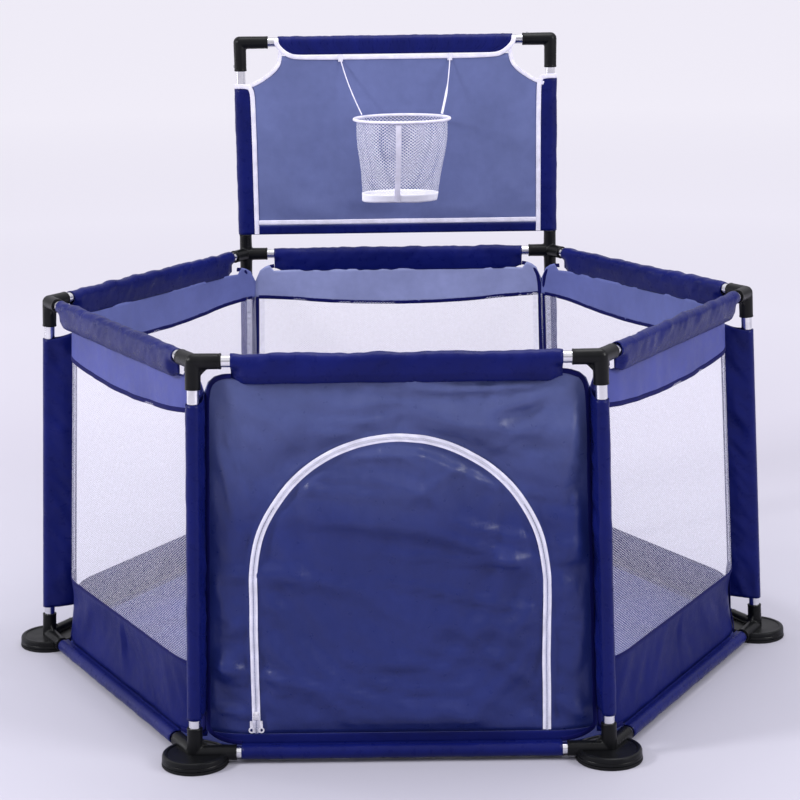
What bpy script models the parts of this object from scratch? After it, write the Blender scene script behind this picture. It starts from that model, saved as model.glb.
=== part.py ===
"""A hexagonal tube-frame play yard with sewn cloth walls, a zipped front door and a toy basketball frame at the rear.

Metres, +Z up. The origin is the middle of the hexagon on the floor, the front door faces -Y.
"""

import math

import bmesh
import bpy
from mathutils import Matrix, Vector

# Hexagon: distance between neighbouring posts, and the heights of the rail axes.
SIDE_TOP = 0.626
SIDE_BOTTOM = 0.659
TOP_Z = 0.647
BOTTOM_Z = 0.0175
HOOP_Z = 1.0765

# Steel tube and moulded sockets.
TUBE_R = 0.0095
TUBE_WALL = 0.001
SOCKET_R = 0.0123
BORE_R = TUBE_R + 0.0004
TOP_ARM = 0.044
UP_ARM = 0.041
FOOT_RAIL_ARM = 0.067
FOOT_POST_ARM = 0.042
ELBOW_ARM = 0.057
BORE_FLOOR = 0.0155
FOOT_BORE_FLOOR = 0.030
END_GAP = 0.0005
WEB_THICKNESS = 0.004
WEB_REACH = 0.032
KNUCKLE_GROWTH = 1.015
OVERCUT = 0.002
SIDES = 16
ROUND_SIDES = 32
MERGE = 0.00001

# Feet.
PAD_R = 0.0535
PAD_TOP = 0.0055
DISC_TOP = 0.0195
DISC_INSET = 0.001
PAD_GROWTH = 0.0005
PAD_CHAMFER_HEIGHT = 0.0012
PAD_CHAMFER_WIDTH = 0.0015
GAP = 0.0003

# Sewn cover.
CLOTH = 0.0015
SLEEVE_R = 0.0115
TOP_SLEEVE_END = 0.058
BOTTOM_SLEEVE_END = 0.0745
SLEEVE_DROP = 0.036
WEB_INSET = 0.008
SEAM_INSET = 0.042
SEAM_DROP = 0.048
SEAM_RAMP = 0.09
MID_COLUMN = 0.12
WEB_LOW = 0.014
WEB_MIDDLES = (0.15, 0.38)
TAIL_INSET = SLEEVE_R * 0.9
TAIL_RISE = 0.009
LIP_INSET = 0.004
LIP_RISE = 0.003
FLOOR_LOW = 0.002
FLOOR_HIGH = 0.0045
FLOOR_EDGE_INSET = 0.026
FLOOR_CORNER_CUT = 0.062

# Door and zip.
DOOR_HALF_WIDTH = 0.231
DOOR_HINGE_Z = 0.042
DOOR_CROWN_Z = 0.522
DOOR_GAP = 0.0004
DOOR_LOW = 0.0005
DOORWAY_LOW = -0.0013
DOORWAY_DEPTH = 0.02
SLIDER_Z = 0.075
SLIDER_SIZE = (0.010, 0.0045, 0.014)
SLIDER_BEVEL = 0.0009
PULL_LENGTH = 0.020
PULL_THICKNESS = 0.0014
PULL_SPREAD = 0.0078
PULL_GAP = 0.0012
PULL_RING_R = 0.0048
PULL_HOLE_R = 0.0027
PULL_NECK = 0.0022

# Backboard.
BOARD_BOTTOM_Z = 0.6885
BOARD_SLEEVE_TOP_Z = 1.000
BOARD_SLEEVE_DROP = 0.025
BOARD_SLEEVE_WIDTH = 0.022
BOARD_CORNER_CUT = 0.078
BOARD_MID_COLUMN = 0.09
BOARD_MID_Z = 0.85
HEM_SETBACK = 0.004

# Basket.
BASKET_X = 0.012
RING_Z = 0.9295
RING_R = 0.0945
RING_WIRE_R = 0.003
NET_TOP_R = 0.0885
NET_BOTTOM_R = 0.074
NET_BOTTOM_Z = 0.766
TAB_X = 0.110
TAB_Z = 1.0405
STRING_R = 0.0014
BASKET_GAP = 0.0008
TAB_FORWARD = 0.003
STRING_ANGLE = 32
STRING_BOW = 0.003

# Snap buttons.
BUTTON_R = 0.0032
BUTTON_LENGTH = 0.0065
BUTTON_PROUD = 0.0018
BUTTON_ALONG = 0.047
BUTTON_CLEARANCE = 0.0004
BUTTON_HOLE_LOW = 0.003
BUTTON_HOLE_OVER = 0.004

CORNERS = ["right", "rear_right", "rear_left", "left", "front_left", "front_right"]
WALLS = ["rear_right_side", "rear", "rear_left_side", "front_left_side", "front", "front_right_side"]


def clear_scene():
    for obj in list(bpy.data.objects):
        bpy.data.objects.remove(obj, do_unlink=True)


def new_collection(name):
    made = bpy.data.collections.new(name)
    bpy.context.scene.collection.children.link(made)
    return made


clear_scene()
YARD = new_collection("play_yard")
HELPERS = new_collection("helpers")


def principled(name, colour, roughness, metallic=0.0):
    made = bpy.data.materials.new(name)
    made.use_nodes = True
    shader = made.node_tree.nodes["Principled BSDF"]
    shader.inputs["Base Color"].default_value = (*colour, 1.0)
    shader.inputs["Roughness"].default_value = roughness
    shader.inputs["Metallic"].default_value = metallic
    made.diffuse_color = (*colour, 1.0)
    return made


STEEL = principled("plated_steel", (0.62, 0.62, 0.66), 0.18, 1.0)
PLASTIC = principled("black_plastic", (0.012, 0.012, 0.014), 0.42)
RUBBER = principled("black_rubber", (0.008, 0.008, 0.009), 0.7)
NAVY = principled("navy_cloth", (0.012, 0.012, 0.11), 0.5)
BLUE = principled("blue_grey_cloth", (0.12, 0.14, 0.33), 0.6)
WHITE = principled("white_trim", (0.75, 0.74, 0.82), 0.6)
MESH_WHITE = principled("white_net", (0.7, 0.7, 0.78), 0.7)


def add_object(name, mesh, material, matrix=Matrix(), collection=None):
    obj = bpy.data.objects.new(name, mesh)
    (collection or YARD).objects.link(obj)
    obj.matrix_world = matrix
    if not mesh.materials:
        mesh.materials.append(material)
    return obj


def mesh_from(bm, name):
    mesh = bpy.data.meshes.new(name)
    bm.to_mesh(mesh)
    bm.free()
    return mesh


def smooth(mesh, angle=35.0):
    mesh.shade_smooth()
    mesh.set_sharp_from_angle(angle=math.radians(angle))


def helper(name, mesh, matrix=Matrix()):
    obj = add_object(name, mesh, PLASTIC, matrix, HELPERS)
    obj.hide_render = True
    obj.display_type = "WIRE"
    return obj


def boolean(obj, other, operation):
    modifier = obj.modifiers.new(operation.lower(), "BOOLEAN")
    modifier.operation = operation
    modifier.object = other
    modifier.solver = "EXACT"


def baked_mesh(obj, name):
    """The object's evaluated mesh as a new mesh, in its own frame."""
    bpy.context.view_layer.update()
    graph = bpy.context.evaluated_depsgraph_get()
    mesh = bpy.data.meshes.new_from_object(obj.evaluated_get(graph))
    mesh.name = name
    return mesh


def along(origin, direction):
    """A matrix at origin whose +Z points along direction."""
    turn = Vector((0, 0, 1)).rotation_difference(Vector(direction)).to_matrix().to_4x4()
    return Matrix.Translation(origin) @ turn


def cylinder_mesh(name, radius, low, high, sides=SIDES):
    """A capped cylinder on Z from low to high."""
    bm = bmesh.new()
    bmesh.ops.create_cone(bm, cap_ends=True, segments=sides, radius1=radius, radius2=radius, depth=high - low)
    bmesh.ops.translate(bm, verts=bm.verts, vec=(0, 0, (low + high) / 2))
    return mesh_from(bm, name)


def turned_mesh(profile, name):
    """A closed profile of (radius, z) points, running down its outer side."""
    bm = bmesh.new()
    points = [bm.verts.new((radius, 0, z)) for radius, z in profile]
    for first, second in zip(points, points[1:] + points[:1]):
        bm.edges.new((first, second))
    return mesh_from(bm, name)


def turned(name, profile, material, matrix=Matrix(), steps=SIDES):
    obj = add_object(name, turned_mesh(profile, name), material, matrix)
    screw = obj.modifiers.new("turn", "SCREW")
    screw.steps = screw.render_steps = steps
    screw.use_merge_vertices = True
    screw.merge_threshold = MERGE
    screw.use_smooth_shade = True
    return obj


def tube(name, start, end):
    """A steel tube between two points."""
    start, end = Vector(start), Vector(end)
    length = (end - start).length
    inner = TUBE_R - TUBE_WALL
    profile = [(TUBE_R, length), (TUBE_R, 0), (inner, 0), (inner, length)]
    return turned(name, profile, STEEL, along(start, end - start))


def side_at(z):
    share = (z - BOTTOM_Z) / (TOP_Z - BOTTOM_Z)
    return SIDE_BOTTOM + (SIDE_TOP - SIDE_BOTTOM) * share


def apothem_at(z):
    return side_at(z) * math.sqrt(3) / 2


def corner(index, z):
    angle = math.radians(60 * index)
    return Vector((side_at(z) * math.cos(angle), side_at(z) * math.sin(angle), z))


POST_DOWN = (corner(0, BOTTOM_Z) - corner(0, TOP_Z)).normalized()
RAIL_ARMS = [Vector((-0.5, math.sqrt(3) / 2, 0)), Vector((-0.5, -math.sqrt(3) / 2, 0))]
UP = Vector((0, 0, 1))


def web_mesh(first, second, reach, name):
    """A triangular plate that stiffens the corner between two arms."""
    normal = first.cross(second).normalized() * WEB_THICKNESS
    bm = bmesh.new()
    face = bm.faces.new([bm.verts.new(point - normal / 2) for point in (Vector(), first * reach, second * reach)])
    grown = bmesh.ops.extrude_face_region(bm, geom=[face])["geom"]
    bmesh.ops.translate(bm, verts=[item for item in grown if isinstance(item, bmesh.types.BMVert)], vec=normal)
    bmesh.ops.recalc_face_normals(bm, faces=bm.faces)
    return mesh_from(bm, name)


def socket_mesh(name, arms, webs, bore_floors, extras=(), cuts=()):
    """One moulding: sockets along arms, webs between pairs of them, a blind bore in each."""
    bm = bmesh.new()
    bmesh.ops.create_uvsphere(bm, u_segments=SIDES, v_segments=8, radius=SOCKET_R * KNUCKLE_GROWTH)
    body = helper(name, mesh_from(bm, name))
    for direction, length in arms:
        boolean(body, helper("arm", cylinder_mesh("arm", SOCKET_R, 0, length), along((0, 0, 0), direction)), "UNION")
    for first, second in webs:
        plate = web_mesh(arms[first][0], arms[second][0], WEB_REACH, "web")
        boolean(body, helper("web", plate), "UNION")
    for extra in extras:
        boolean(body, helper("extra", extra), "UNION")
    for cut in cuts:
        boolean(body, helper("cut", cut), "DIFFERENCE")
    for (direction, length), low in zip(arms, bore_floors):
        bore = cylinder_mesh("bore", BORE_R, low, length + OVERCUT)
        boolean(body, helper("bore", bore, along((0, 0, 0), direction)), "DIFFERENCE")
    mesh = baked_mesh(body, name)
    mesh.materials.clear()
    mesh.materials.append(PLASTIC)
    smooth(mesh)
    for obj in list(HELPERS.objects):
        bpy.data.objects.remove(obj, do_unlink=True)
    return mesh


def place_at_corner(name, mesh, index, z):
    turn = Matrix.Rotation(math.radians(60 * index), 4, "Z")
    return add_object(name, mesh, PLASTIC, Matrix.Translation(corner(index, z)) @ turn)


def build_connectors():
    rails = [(direction, TOP_ARM) for direction in RAIL_ARMS]
    webs = [(0, 2), (1, 2)]
    floors = [BORE_FLOOR] * 3
    three_way = socket_mesh("three_way", rails + [(POST_DOWN, TOP_ARM)], webs, floors)
    four_way_arms = rails + [(POST_DOWN, TOP_ARM), (UP, UP_ARM)]
    four_way = socket_mesh("four_way", four_way_arms, [], floors + [BORE_FLOOR])
    for index, place in enumerate(CORNERS):
        mesh = four_way if place.startswith("rear") else three_way
        place_at_corner(f"top_connector_{place}", mesh, index, TOP_Z)


def turned_pad(profile):
    """An open profile that starts and ends on the axis, for a solid disc."""
    bm = bmesh.new()
    points = [bm.verts.new((radius, 0, z)) for radius, z in profile]
    for first, second in zip(points, points[1:]):
        bm.edges.new((first, second))
    return mesh_from(bm, "suction_foot")


def build_feet():
    foot_arms = [(direction, FOOT_RAIL_ARM) for direction in RAIL_ARMS] + [(-POST_DOWN, FOOT_POST_ARM)]
    split = PAD_TOP + GAP - BOTTOM_Z
    disc = cylinder_mesh("disc", PAD_R - DISC_INSET, split, DISC_TOP - BOTTOM_Z, ROUND_SIDES)
    under = cylinder_mesh("under", PAD_R + PAD_GROWTH, -2 * BOTTOM_Z, split, ROUND_SIDES)
    floors = [FOOT_BORE_FLOOR, FOOT_BORE_FLOOR, BORE_FLOOR]
    foot = socket_mesh("foot", foot_arms, [(0, 2), (1, 2)], floors, extras=[disc], cuts=[under])
    for index, place in enumerate(CORNERS):
        place_at_corner(f"foot_connector_{place}", foot, index, BOTTOM_Z)
        chamfer = [(PAD_R, PAD_CHAMFER_HEIGHT), (PAD_R - PAD_CHAMFER_WIDTH, 0)]
        pad = turned_pad([(0, PAD_TOP), (PAD_R, PAD_TOP)] + chamfer + [(0, 0)])
        centre = corner(index, BOTTOM_Z)
        obj = add_object(f"suction_foot_{place}", pad, RUBBER, Matrix.Translation((centre.x, centre.y, 0)))
        screw = obj.modifiers.new("turn", "SCREW")
        screw.steps = screw.render_steps = ROUND_SIDES
        screw.use_merge_vertices = True
        screw.merge_threshold = MERGE


def build_frame_tubes():
    top_in, foot_in = BORE_FLOOR + END_GAP, FOOT_BORE_FLOOR + END_GAP
    for index, place in enumerate(CORNERS):
        start = corner(index, TOP_Z) + (corner(index, BOTTOM_Z) - corner(index, TOP_Z)).normalized() * top_in
        end = corner(index, BOTTOM_Z) + (corner(index, TOP_Z) - corner(index, BOTTOM_Z)).normalized() * top_in
        tube(f"post_{place}", start, end)
    for index, place in enumerate(WALLS):
        for level, inset, kind in ((TOP_Z, top_in, "top_rail"), (BOTTOM_Z, foot_in, "bottom_rail")):
            first, second = corner(index, level), corner(index + 1, level)
            step = (second - first).normalized() * inset
            tube(f"{kind}_{place.replace('_side', '')}", first + step, second - step)


def sheet(name, grid, material):
    """Cloth of one thickness over a grid of points, with None where there is no cloth."""
    bm = bmesh.new()
    verts = [[bm.verts.new(point) if point is not None else None for point in row] for row in grid]
    for low, high in zip(verts, verts[1:]):
        for quad in zip(low, low[1:], high[1:], high):
            if None not in quad:
                bm.faces.new(quad)
    loose = [vert for vert in bm.verts if not vert.link_faces]
    bmesh.ops.delete(bm, geom=loose, context="VERTS")
    obj = add_object(name, mesh_from(bm, name), material)
    solid = obj.modifiers.new("thickness", "SOLIDIFY")
    solid.thickness = CLOTH
    solid.offset = 0
    return obj


def hook(start_degrees, end_degrees, points):
    """(inset, height) points round a rail's axis: 0 degrees is the yard's inner side, 90 the top."""
    turn = (end_degrees - start_degrees) / (points - 1)
    angles = [math.radians(start_degrees + turn * step) for step in range(points)]
    return [(SLEEVE_R * math.cos(angle), SLEEVE_R * math.sin(angle)) for angle in angles]


def wall_point(index, u, inset, z, z_for_side=None):
    angle = math.radians(60 * index + 30)
    out = Vector((math.cos(angle), math.sin(angle), 0))
    beside = Vector((-math.sin(angle), math.cos(angle), 0))
    level = z if z_for_side is None else z_for_side
    return out * (apothem_at(level) - inset) + beside * u + UP * z


def web_inset(u, half):
    """The web leaves the rail's plane near its ends, to meet the seam inside the post."""
    share = max(0.0, (abs(u) - (half - SEAM_RAMP)) / SEAM_RAMP)
    return WEB_INSET + (SEAM_INSET * math.sqrt(3) / 2 - WEB_INSET) * share * share


def wall_columns(z):
    half = side_at(z) / 2 - SEAM_INSET / 2 - 0.001
    sleeve = side_at(z) / 2 - (BOTTOM_SLEEVE_END if z < TOP_Z / 2 else TOP_SLEEVE_END)
    positive = [half, (half + sleeve) / 2, sleeve, half - SEAM_RAMP, MID_COLUMN]
    return [-u for u in positive] + [0.0] + positive[::-1], half


def build_wall(index, place):
    """A loop round the bottom rail, a web, and a loop that hangs from the top rail."""
    web_levels = [BOTTOM_Z + WEB_LOW, *WEB_MIDDLES, TOP_Z - SEAM_DROP]
    bottom = [(-TAIL_INSET, TAIL_RISE)] + hook(180, 360, 6)
    top = [(WEB_INSET, -SLEEVE_DROP)] + hook(0, 180, 6) + [(-LIP_INSET, LIP_RISE - SLEEVE_DROP)]
    rows = []
    for inset, rise in bottom:
        columns, _ = wall_columns(BOTTOM_Z)
        rows.append([wall_point(index, u, inset, BOTTOM_Z + rise, BOTTOM_Z) for u in columns])
    for z in web_levels:
        columns, half = wall_columns(z)
        rows.append([wall_point(index, u, web_inset(u, half), z) for u in columns])
    for inset, rise in top:
        columns, _ = wall_columns(TOP_Z)
        rows.append([wall_point(index, u, inset, TOP_Z + rise, TOP_Z) for u in columns])
    for number in range(len(rows)):
        if not len(bottom) <= number < len(bottom) + len(web_levels):
            for column in (0, 1, -2, -1):
                rows[number][column] = None
    return sheet(f"wall_{place}", rows, NAVY)


def door_outline(clearance, low_z):
    """The arched door, as (x, height up the wall from the hinge), grown by clearance."""
    width = DOOR_HALF_WIDTH + clearance
    crown = DOOR_CROWN_Z - DOOR_HINGE_Z
    spring = crown - DOOR_HALF_WIDTH
    arc = [math.radians(180 * step / 24) for step in range(25)]
    points = [(width * math.cos(angle), spring + width * math.sin(angle)) for angle in arc]
    return [(width, low_z)] + points + [(-width, low_z)]


def wall_lean():
    return math.atan2(apothem_at(BOTTOM_Z) - apothem_at(TOP_Z), TOP_Z - BOTTOM_Z)


def flat_plate(name, outlines, thickness, material, matrix):
    """A plate from closed 2D outlines (the second and later ones are holes), as a welded mesh object."""
    curve = bpy.data.curves.new(name, "CURVE")
    curve.dimensions = "2D"
    curve.fill_mode = "BOTH"
    curve.extrude = thickness / 2
    for outline in outlines:
        spline = curve.splines.new("POLY")
        spline.points.add(len(outline) - 1)
        for point, (x, y) in zip(spline.points, outline):
            point.co = (x, y, 0, 1)
        spline.use_cyclic_u = True
    source = bpy.data.objects.new("outline", curve)
    HELPERS.objects.link(source)
    mesh = baked_mesh(source, name)
    bpy.data.objects.remove(source, do_unlink=True)
    bm = bmesh.new()
    bm.from_mesh(mesh)
    bmesh.ops.remove_doubles(bm, verts=bm.verts, dist=0.000001)
    bmesh.ops.recalc_face_normals(bm, faces=bm.faces)
    bm.to_mesh(mesh)
    bm.free()
    mesh.materials.clear()
    return add_object(name, mesh, material, matrix)


def front_plane(height, forward=0.0, x=0.0):
    """A matrix on the front wall's web: its X along the wall, its Y up the wall, its Z out of the front."""
    y = -(apothem_at(DOOR_HINGE_Z) - WEB_INSET)
    place = Matrix.Translation((0, y, DOOR_HINGE_Z)) @ Matrix.Rotation(math.pi / 2 - wall_lean(), 4, "X")
    return place @ Matrix.Translation((x, height, forward))


def build_door(front_wall):
    flat_plate("door_panel", [door_outline(0, DOOR_LOW)], CLOTH, NAVY, front_plane(0))
    cutter = flat_plate("doorway", [door_outline(DOOR_GAP, DOORWAY_LOW)], DOORWAY_DEPTH, NAVY, front_plane(0))
    cutter.hide_render = True
    cutter.display_type = "WIRE"
    YARD.objects.unlink(cutter)
    HELPERS.objects.link(cutter)
    boolean(front_wall, cutter, "DIFFERENCE")


def box_mesh(name, size, bevel):
    bm = bmesh.new()
    bmesh.ops.create_cube(bm, size=1.0)
    bmesh.ops.scale(bm, verts=bm.verts, vec=size)
    bmesh.ops.bevel(bm, geom=bm.edges, offset=bevel, segments=1, affect="EDGES")
    return mesh_from(bm, name)


def pull_circle(radius, angles):
    """Points round the centre of the pull's ring."""
    middle = PULL_RING_R - PULL_LENGTH
    return [(radius * math.cos(angle), middle + radius * math.sin(angle)) for angle in angles]


def pull_outline():
    """A tab that widens into a ring at its end, hanging down from (0, 0)."""
    arc = [math.radians(120 + 300 * step / 12) for step in range(13)]
    return [(PULL_NECK, 0.0), (-PULL_NECK, 0.0)] + pull_circle(PULL_RING_R, arc)


def pull_hole():
    return pull_circle(PULL_HOLE_R, [math.radians(36 * step) for step in range(10)])


def build_zip():
    width, depth, height = SLIDER_SIZE
    up = (SLIDER_Z - DOOR_HINGE_Z) / math.cos(wall_lean())
    back = CLOTH / 2 + GAP
    slider = box_mesh("zip_slider", (width, height, depth), SLIDER_BEVEL)
    add_object("zip_slider", slider, STEEL, front_plane(up, back + depth / 2, -DOOR_HALF_WIDTH))
    for side, name in ((-1, "zip_pull_left"), (1, "zip_pull_right")):
        place = front_plane(up - height / 2 - PULL_GAP, back + depth / 2, -DOOR_HALF_WIDTH + side * PULL_SPREAD)
        flat_plate(name, [pull_outline(), pull_hole()], PULL_THICKNESS, STEEL, place)


def build_floor():
    """A hexagon of cloth with its corners cut off clear of the feet."""
    edge = apothem_at(BOTTOM_Z) - FLOOR_EDGE_INSET
    side = edge * 2 / math.sqrt(3)
    outline = []
    for index in range(6):
        point = Vector((math.cos(math.radians(60 * index)), math.sin(math.radians(60 * index)))) * side
        for neighbour in (index - 1, index + 1):
            angle = math.radians(60 * neighbour)
            toward = Vector((math.cos(angle), math.sin(angle))) * side - point
            outline.append(point + toward.normalized() * FLOOR_CORNER_CUT)
    place = Matrix.Translation((0, 0, (FLOOR_LOW + FLOOR_HIGH) / 2))
    flat_plate("floor_cloth", [[tuple(point) for point in outline]], FLOOR_HIGH - FLOOR_LOW, NAVY, place)


def hoop_corner(side):
    return Vector((side * SIDE_TOP / 2, apothem_at(TOP_Z), HOOP_Z))


def elbow_mesh(side):
    arms = [(Vector((-side, 0, 0)), ELBOW_ARM), (-UP, ELBOW_ARM)]
    return socket_mesh("elbow", arms, [], [BORE_FLOOR, BORE_FLOOR])


def build_hoop_frame():
    inside = BORE_FLOOR + END_GAP
    elbows = {side: elbow_mesh(side) for side in (-1, 1)}
    for side, name in ((-1, "left"), (1, "right")):
        top = hoop_corner(side)
        low = Vector((top.x, top.y, TOP_Z + inside))
        upright = tube(f"upright_{name}", low, top - UP * inside)
        elbow = add_object(f"elbow_{name}", elbows[side], PLASTIC, Matrix.Translation(top))
        build_button(name, side, top, elbow, upright)
    reach = Vector((SIDE_TOP / 2 - inside, 0, 0))
    centre = Vector((0, apothem_at(TOP_Z), HOOP_Z))
    rail = tube("hoop_rail", centre - reach, centre + reach)
    cut_button_hole(rail, "right")


BUTTON_CUTTERS = {}


def build_button(name, side, top, elbow, upright):
    """The left button stands out of the upright's socket, the right one out of the rail's."""
    if name == "left":
        centre, outward = top - UP * BUTTON_ALONG, Vector((-1, 0, 0))
    else:
        centre, outward = top + Vector((-side * BUTTON_ALONG, 0, 0)), Vector((0, 0, 1))
    tip = SOCKET_R + BUTTON_PROUD
    pin = cylinder_mesh(f"snap_button_{name}", BUTTON_R, tip - BUTTON_LENGTH, tip, 12)
    smooth(pin)
    add_object(f"snap_button_{name}", pin, STEEL, along(centre, outward))
    hole = cylinder_mesh("button_hole", BUTTON_R + BUTTON_CLEARANCE, BUTTON_HOLE_LOW, tip + BUTTON_HOLE_OVER, 12)
    cutter = helper(f"button_hole_{name}", hole, along(centre, outward))
    BUTTON_CUTTERS[name] = cutter
    boolean(elbow, cutter, "DIFFERENCE")
    if name == "left":
        cut_button_hole(upright, name)


def cut_button_hole(obj, name):
    boolean(obj, BUTTON_CUTTERS[name], "DIFFERENCE")


def build_backboard():
    """One panel in front of the frame, folded back round the rail and both uprights."""
    plane_y = apothem_at(TOP_Z)
    post_x = SIDE_TOP / 2
    front = plane_y - SLEEVE_R
    loop = [math.radians(angle) for angle in (-90, -50, -10, 30, 70, 110)]
    side_turn = [(post_x + SLEEVE_R * math.cos(a), plane_y + SLEEVE_R * math.sin(a)) for a in loop]
    side_turn.append((post_x - BOARD_SLEEVE_WIDTH, front + HEM_SETBACK))
    inner_columns = [post_x - BOARD_SLEEVE_WIDTH, post_x - BOARD_CORNER_CUT, BOARD_MID_COLUMN]
    positive = [(x, front) for x in inner_columns[::-1]] + side_turn
    columns = [(-x, y) for x, y in positive[::-1]] + [(0.0, front)] + positive
    levels = [BOARD_BOTTOM_Z, BOARD_MID_Z, BOARD_SLEEVE_TOP_Z, HOOP_Z - BOARD_SLEEVE_DROP, HOOP_Z]
    rows = [[Vector((x, y, z)) for x, y in columns] for z in levels]
    over = [math.radians(angle) for angle in (40, 80, 120, 160, 200)]
    for angle in over:
        y, z = plane_y - SLEEVE_R * math.cos(angle), HOOP_Z + SLEEVE_R * math.sin(angle)
        rows.append([Vector((x, y, z)) for x, _ in columns])
    rows.append([Vector((x, front + HEM_SETBACK, HOOP_Z - BOARD_SLEEVE_DROP)) for x, _ in columns])
    hooks = len(side_turn)
    for number, row in enumerate(rows):
        if number > 2:
            for column in list(range(hooks + 1)) + list(range(-hooks - 1, 0)):
                row[column] = None
    return sheet("backboard_cover", rows, BLUE)


def board_front():
    return apothem_at(TOP_Z) - SLEEVE_R - CLOTH / 2


def ring_centre():
    return Vector((BASKET_X, board_front() - RING_R - RING_WIRE_R - BASKET_GAP, RING_Z))


def string_route(side):
    """From the tab on the backboard down to the ring, slightly bowed."""
    start = Vector((side * TAB_X, board_front() - TAB_FORWARD, TAB_Z))
    angle = math.radians(180 - STRING_ANGLE if side < 0 else STRING_ANGLE)
    out = Vector((math.cos(angle), math.sin(angle), 0))
    end = ring_centre() + out * RING_R + UP * (RING_WIRE_R + STRING_R + GAP)
    bow = Vector((side * STRING_BOW, 0, 0))
    steps = [index / 12 for index in range(13)]
    return [start.lerp(end, share) + bow * math.sin(math.pi * share) for share in steps]


def build_string(name, side):
    curve = bpy.data.curves.new(name, "CURVE")
    curve.dimensions = "3D"
    curve.bevel_depth = STRING_R
    curve.bevel_resolution = 2
    curve.use_fill_caps = True
    route = string_route(side)
    spline = curve.splines.new("POLY")
    spline.points.add(len(route) - 1)
    for point, place in zip(spline.points, route):
        point.co = (*place, 1)
    obj = bpy.data.objects.new(name, curve)
    curve.materials.append(WHITE)
    YARD.objects.link(obj)


def build_basket():
    turns = [math.radians(-360 * step / 8) for step in range(8)]
    wire = [(RING_R + RING_WIRE_R * math.cos(turn), RING_WIRE_R * math.sin(turn)) for turn in turns]
    turned("basket_ring", wire, WHITE, Matrix.Translation(ring_centre()), ROUND_SIDES)
    top = -RING_WIRE_R - GAP
    low = NET_BOTTOM_Z - RING_Z
    net = [(NET_TOP_R, top), (NET_BOTTOM_R, low), (NET_BOTTOM_R - CLOTH, low), (NET_TOP_R - CLOTH, top)]
    turned("basket_net", net, MESH_WHITE, Matrix.Translation(ring_centre()), ROUND_SIDES)
    build_string("basket_string_left", -1)
    build_string("basket_string_right", 1)


def main():
    build_connectors()
    build_feet()
    build_frame_tubes()
    walls = {place: build_wall(index, place) for index, place in enumerate(WALLS)}
    build_floor()
    build_hoop_frame()
    build_backboard()
    build_basket()
    build_door(walls["front"])
    build_zip()


main()
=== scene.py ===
"""The looks of the hexagonal play yard: sewn cloth, net, zip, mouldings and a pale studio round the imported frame.

Metres, +Z up, the front door faces -Y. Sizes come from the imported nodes, and cloth sizes are cut sizes.
"""

import math

import bmesh
import bpy
import numpy as np
from mathutils import Matrix, Vector, noise


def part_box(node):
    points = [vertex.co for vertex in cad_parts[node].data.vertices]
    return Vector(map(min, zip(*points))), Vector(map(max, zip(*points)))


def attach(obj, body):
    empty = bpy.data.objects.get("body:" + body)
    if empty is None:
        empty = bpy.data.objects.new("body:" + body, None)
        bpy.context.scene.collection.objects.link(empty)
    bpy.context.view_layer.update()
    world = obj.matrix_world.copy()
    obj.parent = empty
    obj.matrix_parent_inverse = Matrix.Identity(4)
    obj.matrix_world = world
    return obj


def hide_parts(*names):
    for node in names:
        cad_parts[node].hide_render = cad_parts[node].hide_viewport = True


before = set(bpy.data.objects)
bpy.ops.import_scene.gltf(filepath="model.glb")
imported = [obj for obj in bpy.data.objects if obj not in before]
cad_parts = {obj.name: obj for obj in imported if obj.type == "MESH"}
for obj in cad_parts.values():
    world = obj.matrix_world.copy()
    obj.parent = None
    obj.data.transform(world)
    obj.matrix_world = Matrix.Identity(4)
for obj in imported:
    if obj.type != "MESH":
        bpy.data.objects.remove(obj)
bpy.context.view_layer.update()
UP = Vector((0, 0, 1))


def middle(node):
    low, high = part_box(node)
    return (low + high) / 2


def size(node):
    low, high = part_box(node)
    return high - low


# The frame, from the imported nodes.
TOP_Z = middle("top_rail_front").z
BOTTOM_Z = middle("bottom_rail_front").z
HOOP_Z = middle("hoop_rail").z
TOP_APOTHEM = -middle("top_rail_front").y
BOTTOM_APOTHEM = -middle("bottom_rail_front").y
TUBE_R = size("top_rail_front").z / 2
TUBE_WALL = 0.001
SOCKET_R = size("elbow_left").y / 2
POST_X = TOP_APOTHEM / math.sqrt(3)
CORNERS = ["right", "rear_right", "rear_left", "left", "front_left", "front_right"]
WALLS = ["rear_right_side", "rear", "rear_left_side", "front_left_side", "front", "front_right_side"]
FRONT = WALLS.index("front")

# How far each socket's arms reach from its corner, and how far in a tube starts.
TOP_ARM = 0.044
UP_ARM = 0.041
FOOT_RAIL_ARM = 0.067
FOOT_POST_ARM = 0.042
ELBOW_ARM = 0.057
BORE_FLOOR = 0.0155
FOOT_BORE_FLOOR = 0.030
TUBE_INSET = 0.0005
WEB_REACH = 0.034
WEB_THICKNESS = 0.0045
MOULDING_VOXEL = 0.0011
PAD_R = 0.0535
PAD_TOP = 0.0055
DISC_TOP = 0.0195

# Cloth: sleeves on the rails and posts, and the web between them.
CLOTH = 0.0009
SLEEVE_R = 0.0113
TOP_SLEEVE_END = 0.058
BOTTOM_SLEEVE_END = 0.0745
SLEEVE_DROP = 0.036
WEB_INSET = 0.008
SEAM_INSETS = {
    "front_left": 0.031, "front_right": 0.031, "left": 0.049, "right": 0.047, "rear_left": 0.042, "rear_right": 0.042,
}
SEAM_DROP = 0.052
NOTCH_DROP = 0.019
SEAM_RAMP = 0.09
POST_SLEEVE_R = 0.0118
POST_SLEEVE_TOP = 0.066
POST_SLEEVE_LOW = 0.056
BAND_DROP = 0.104
BAND_RISE = 0.020
NET_LOW_Z = 0.146
REAR_NET_LOW_Z = 0.098
BINDING_WIDTH = 0.008
BINDING_THICKNESS = 0.0022

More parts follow.
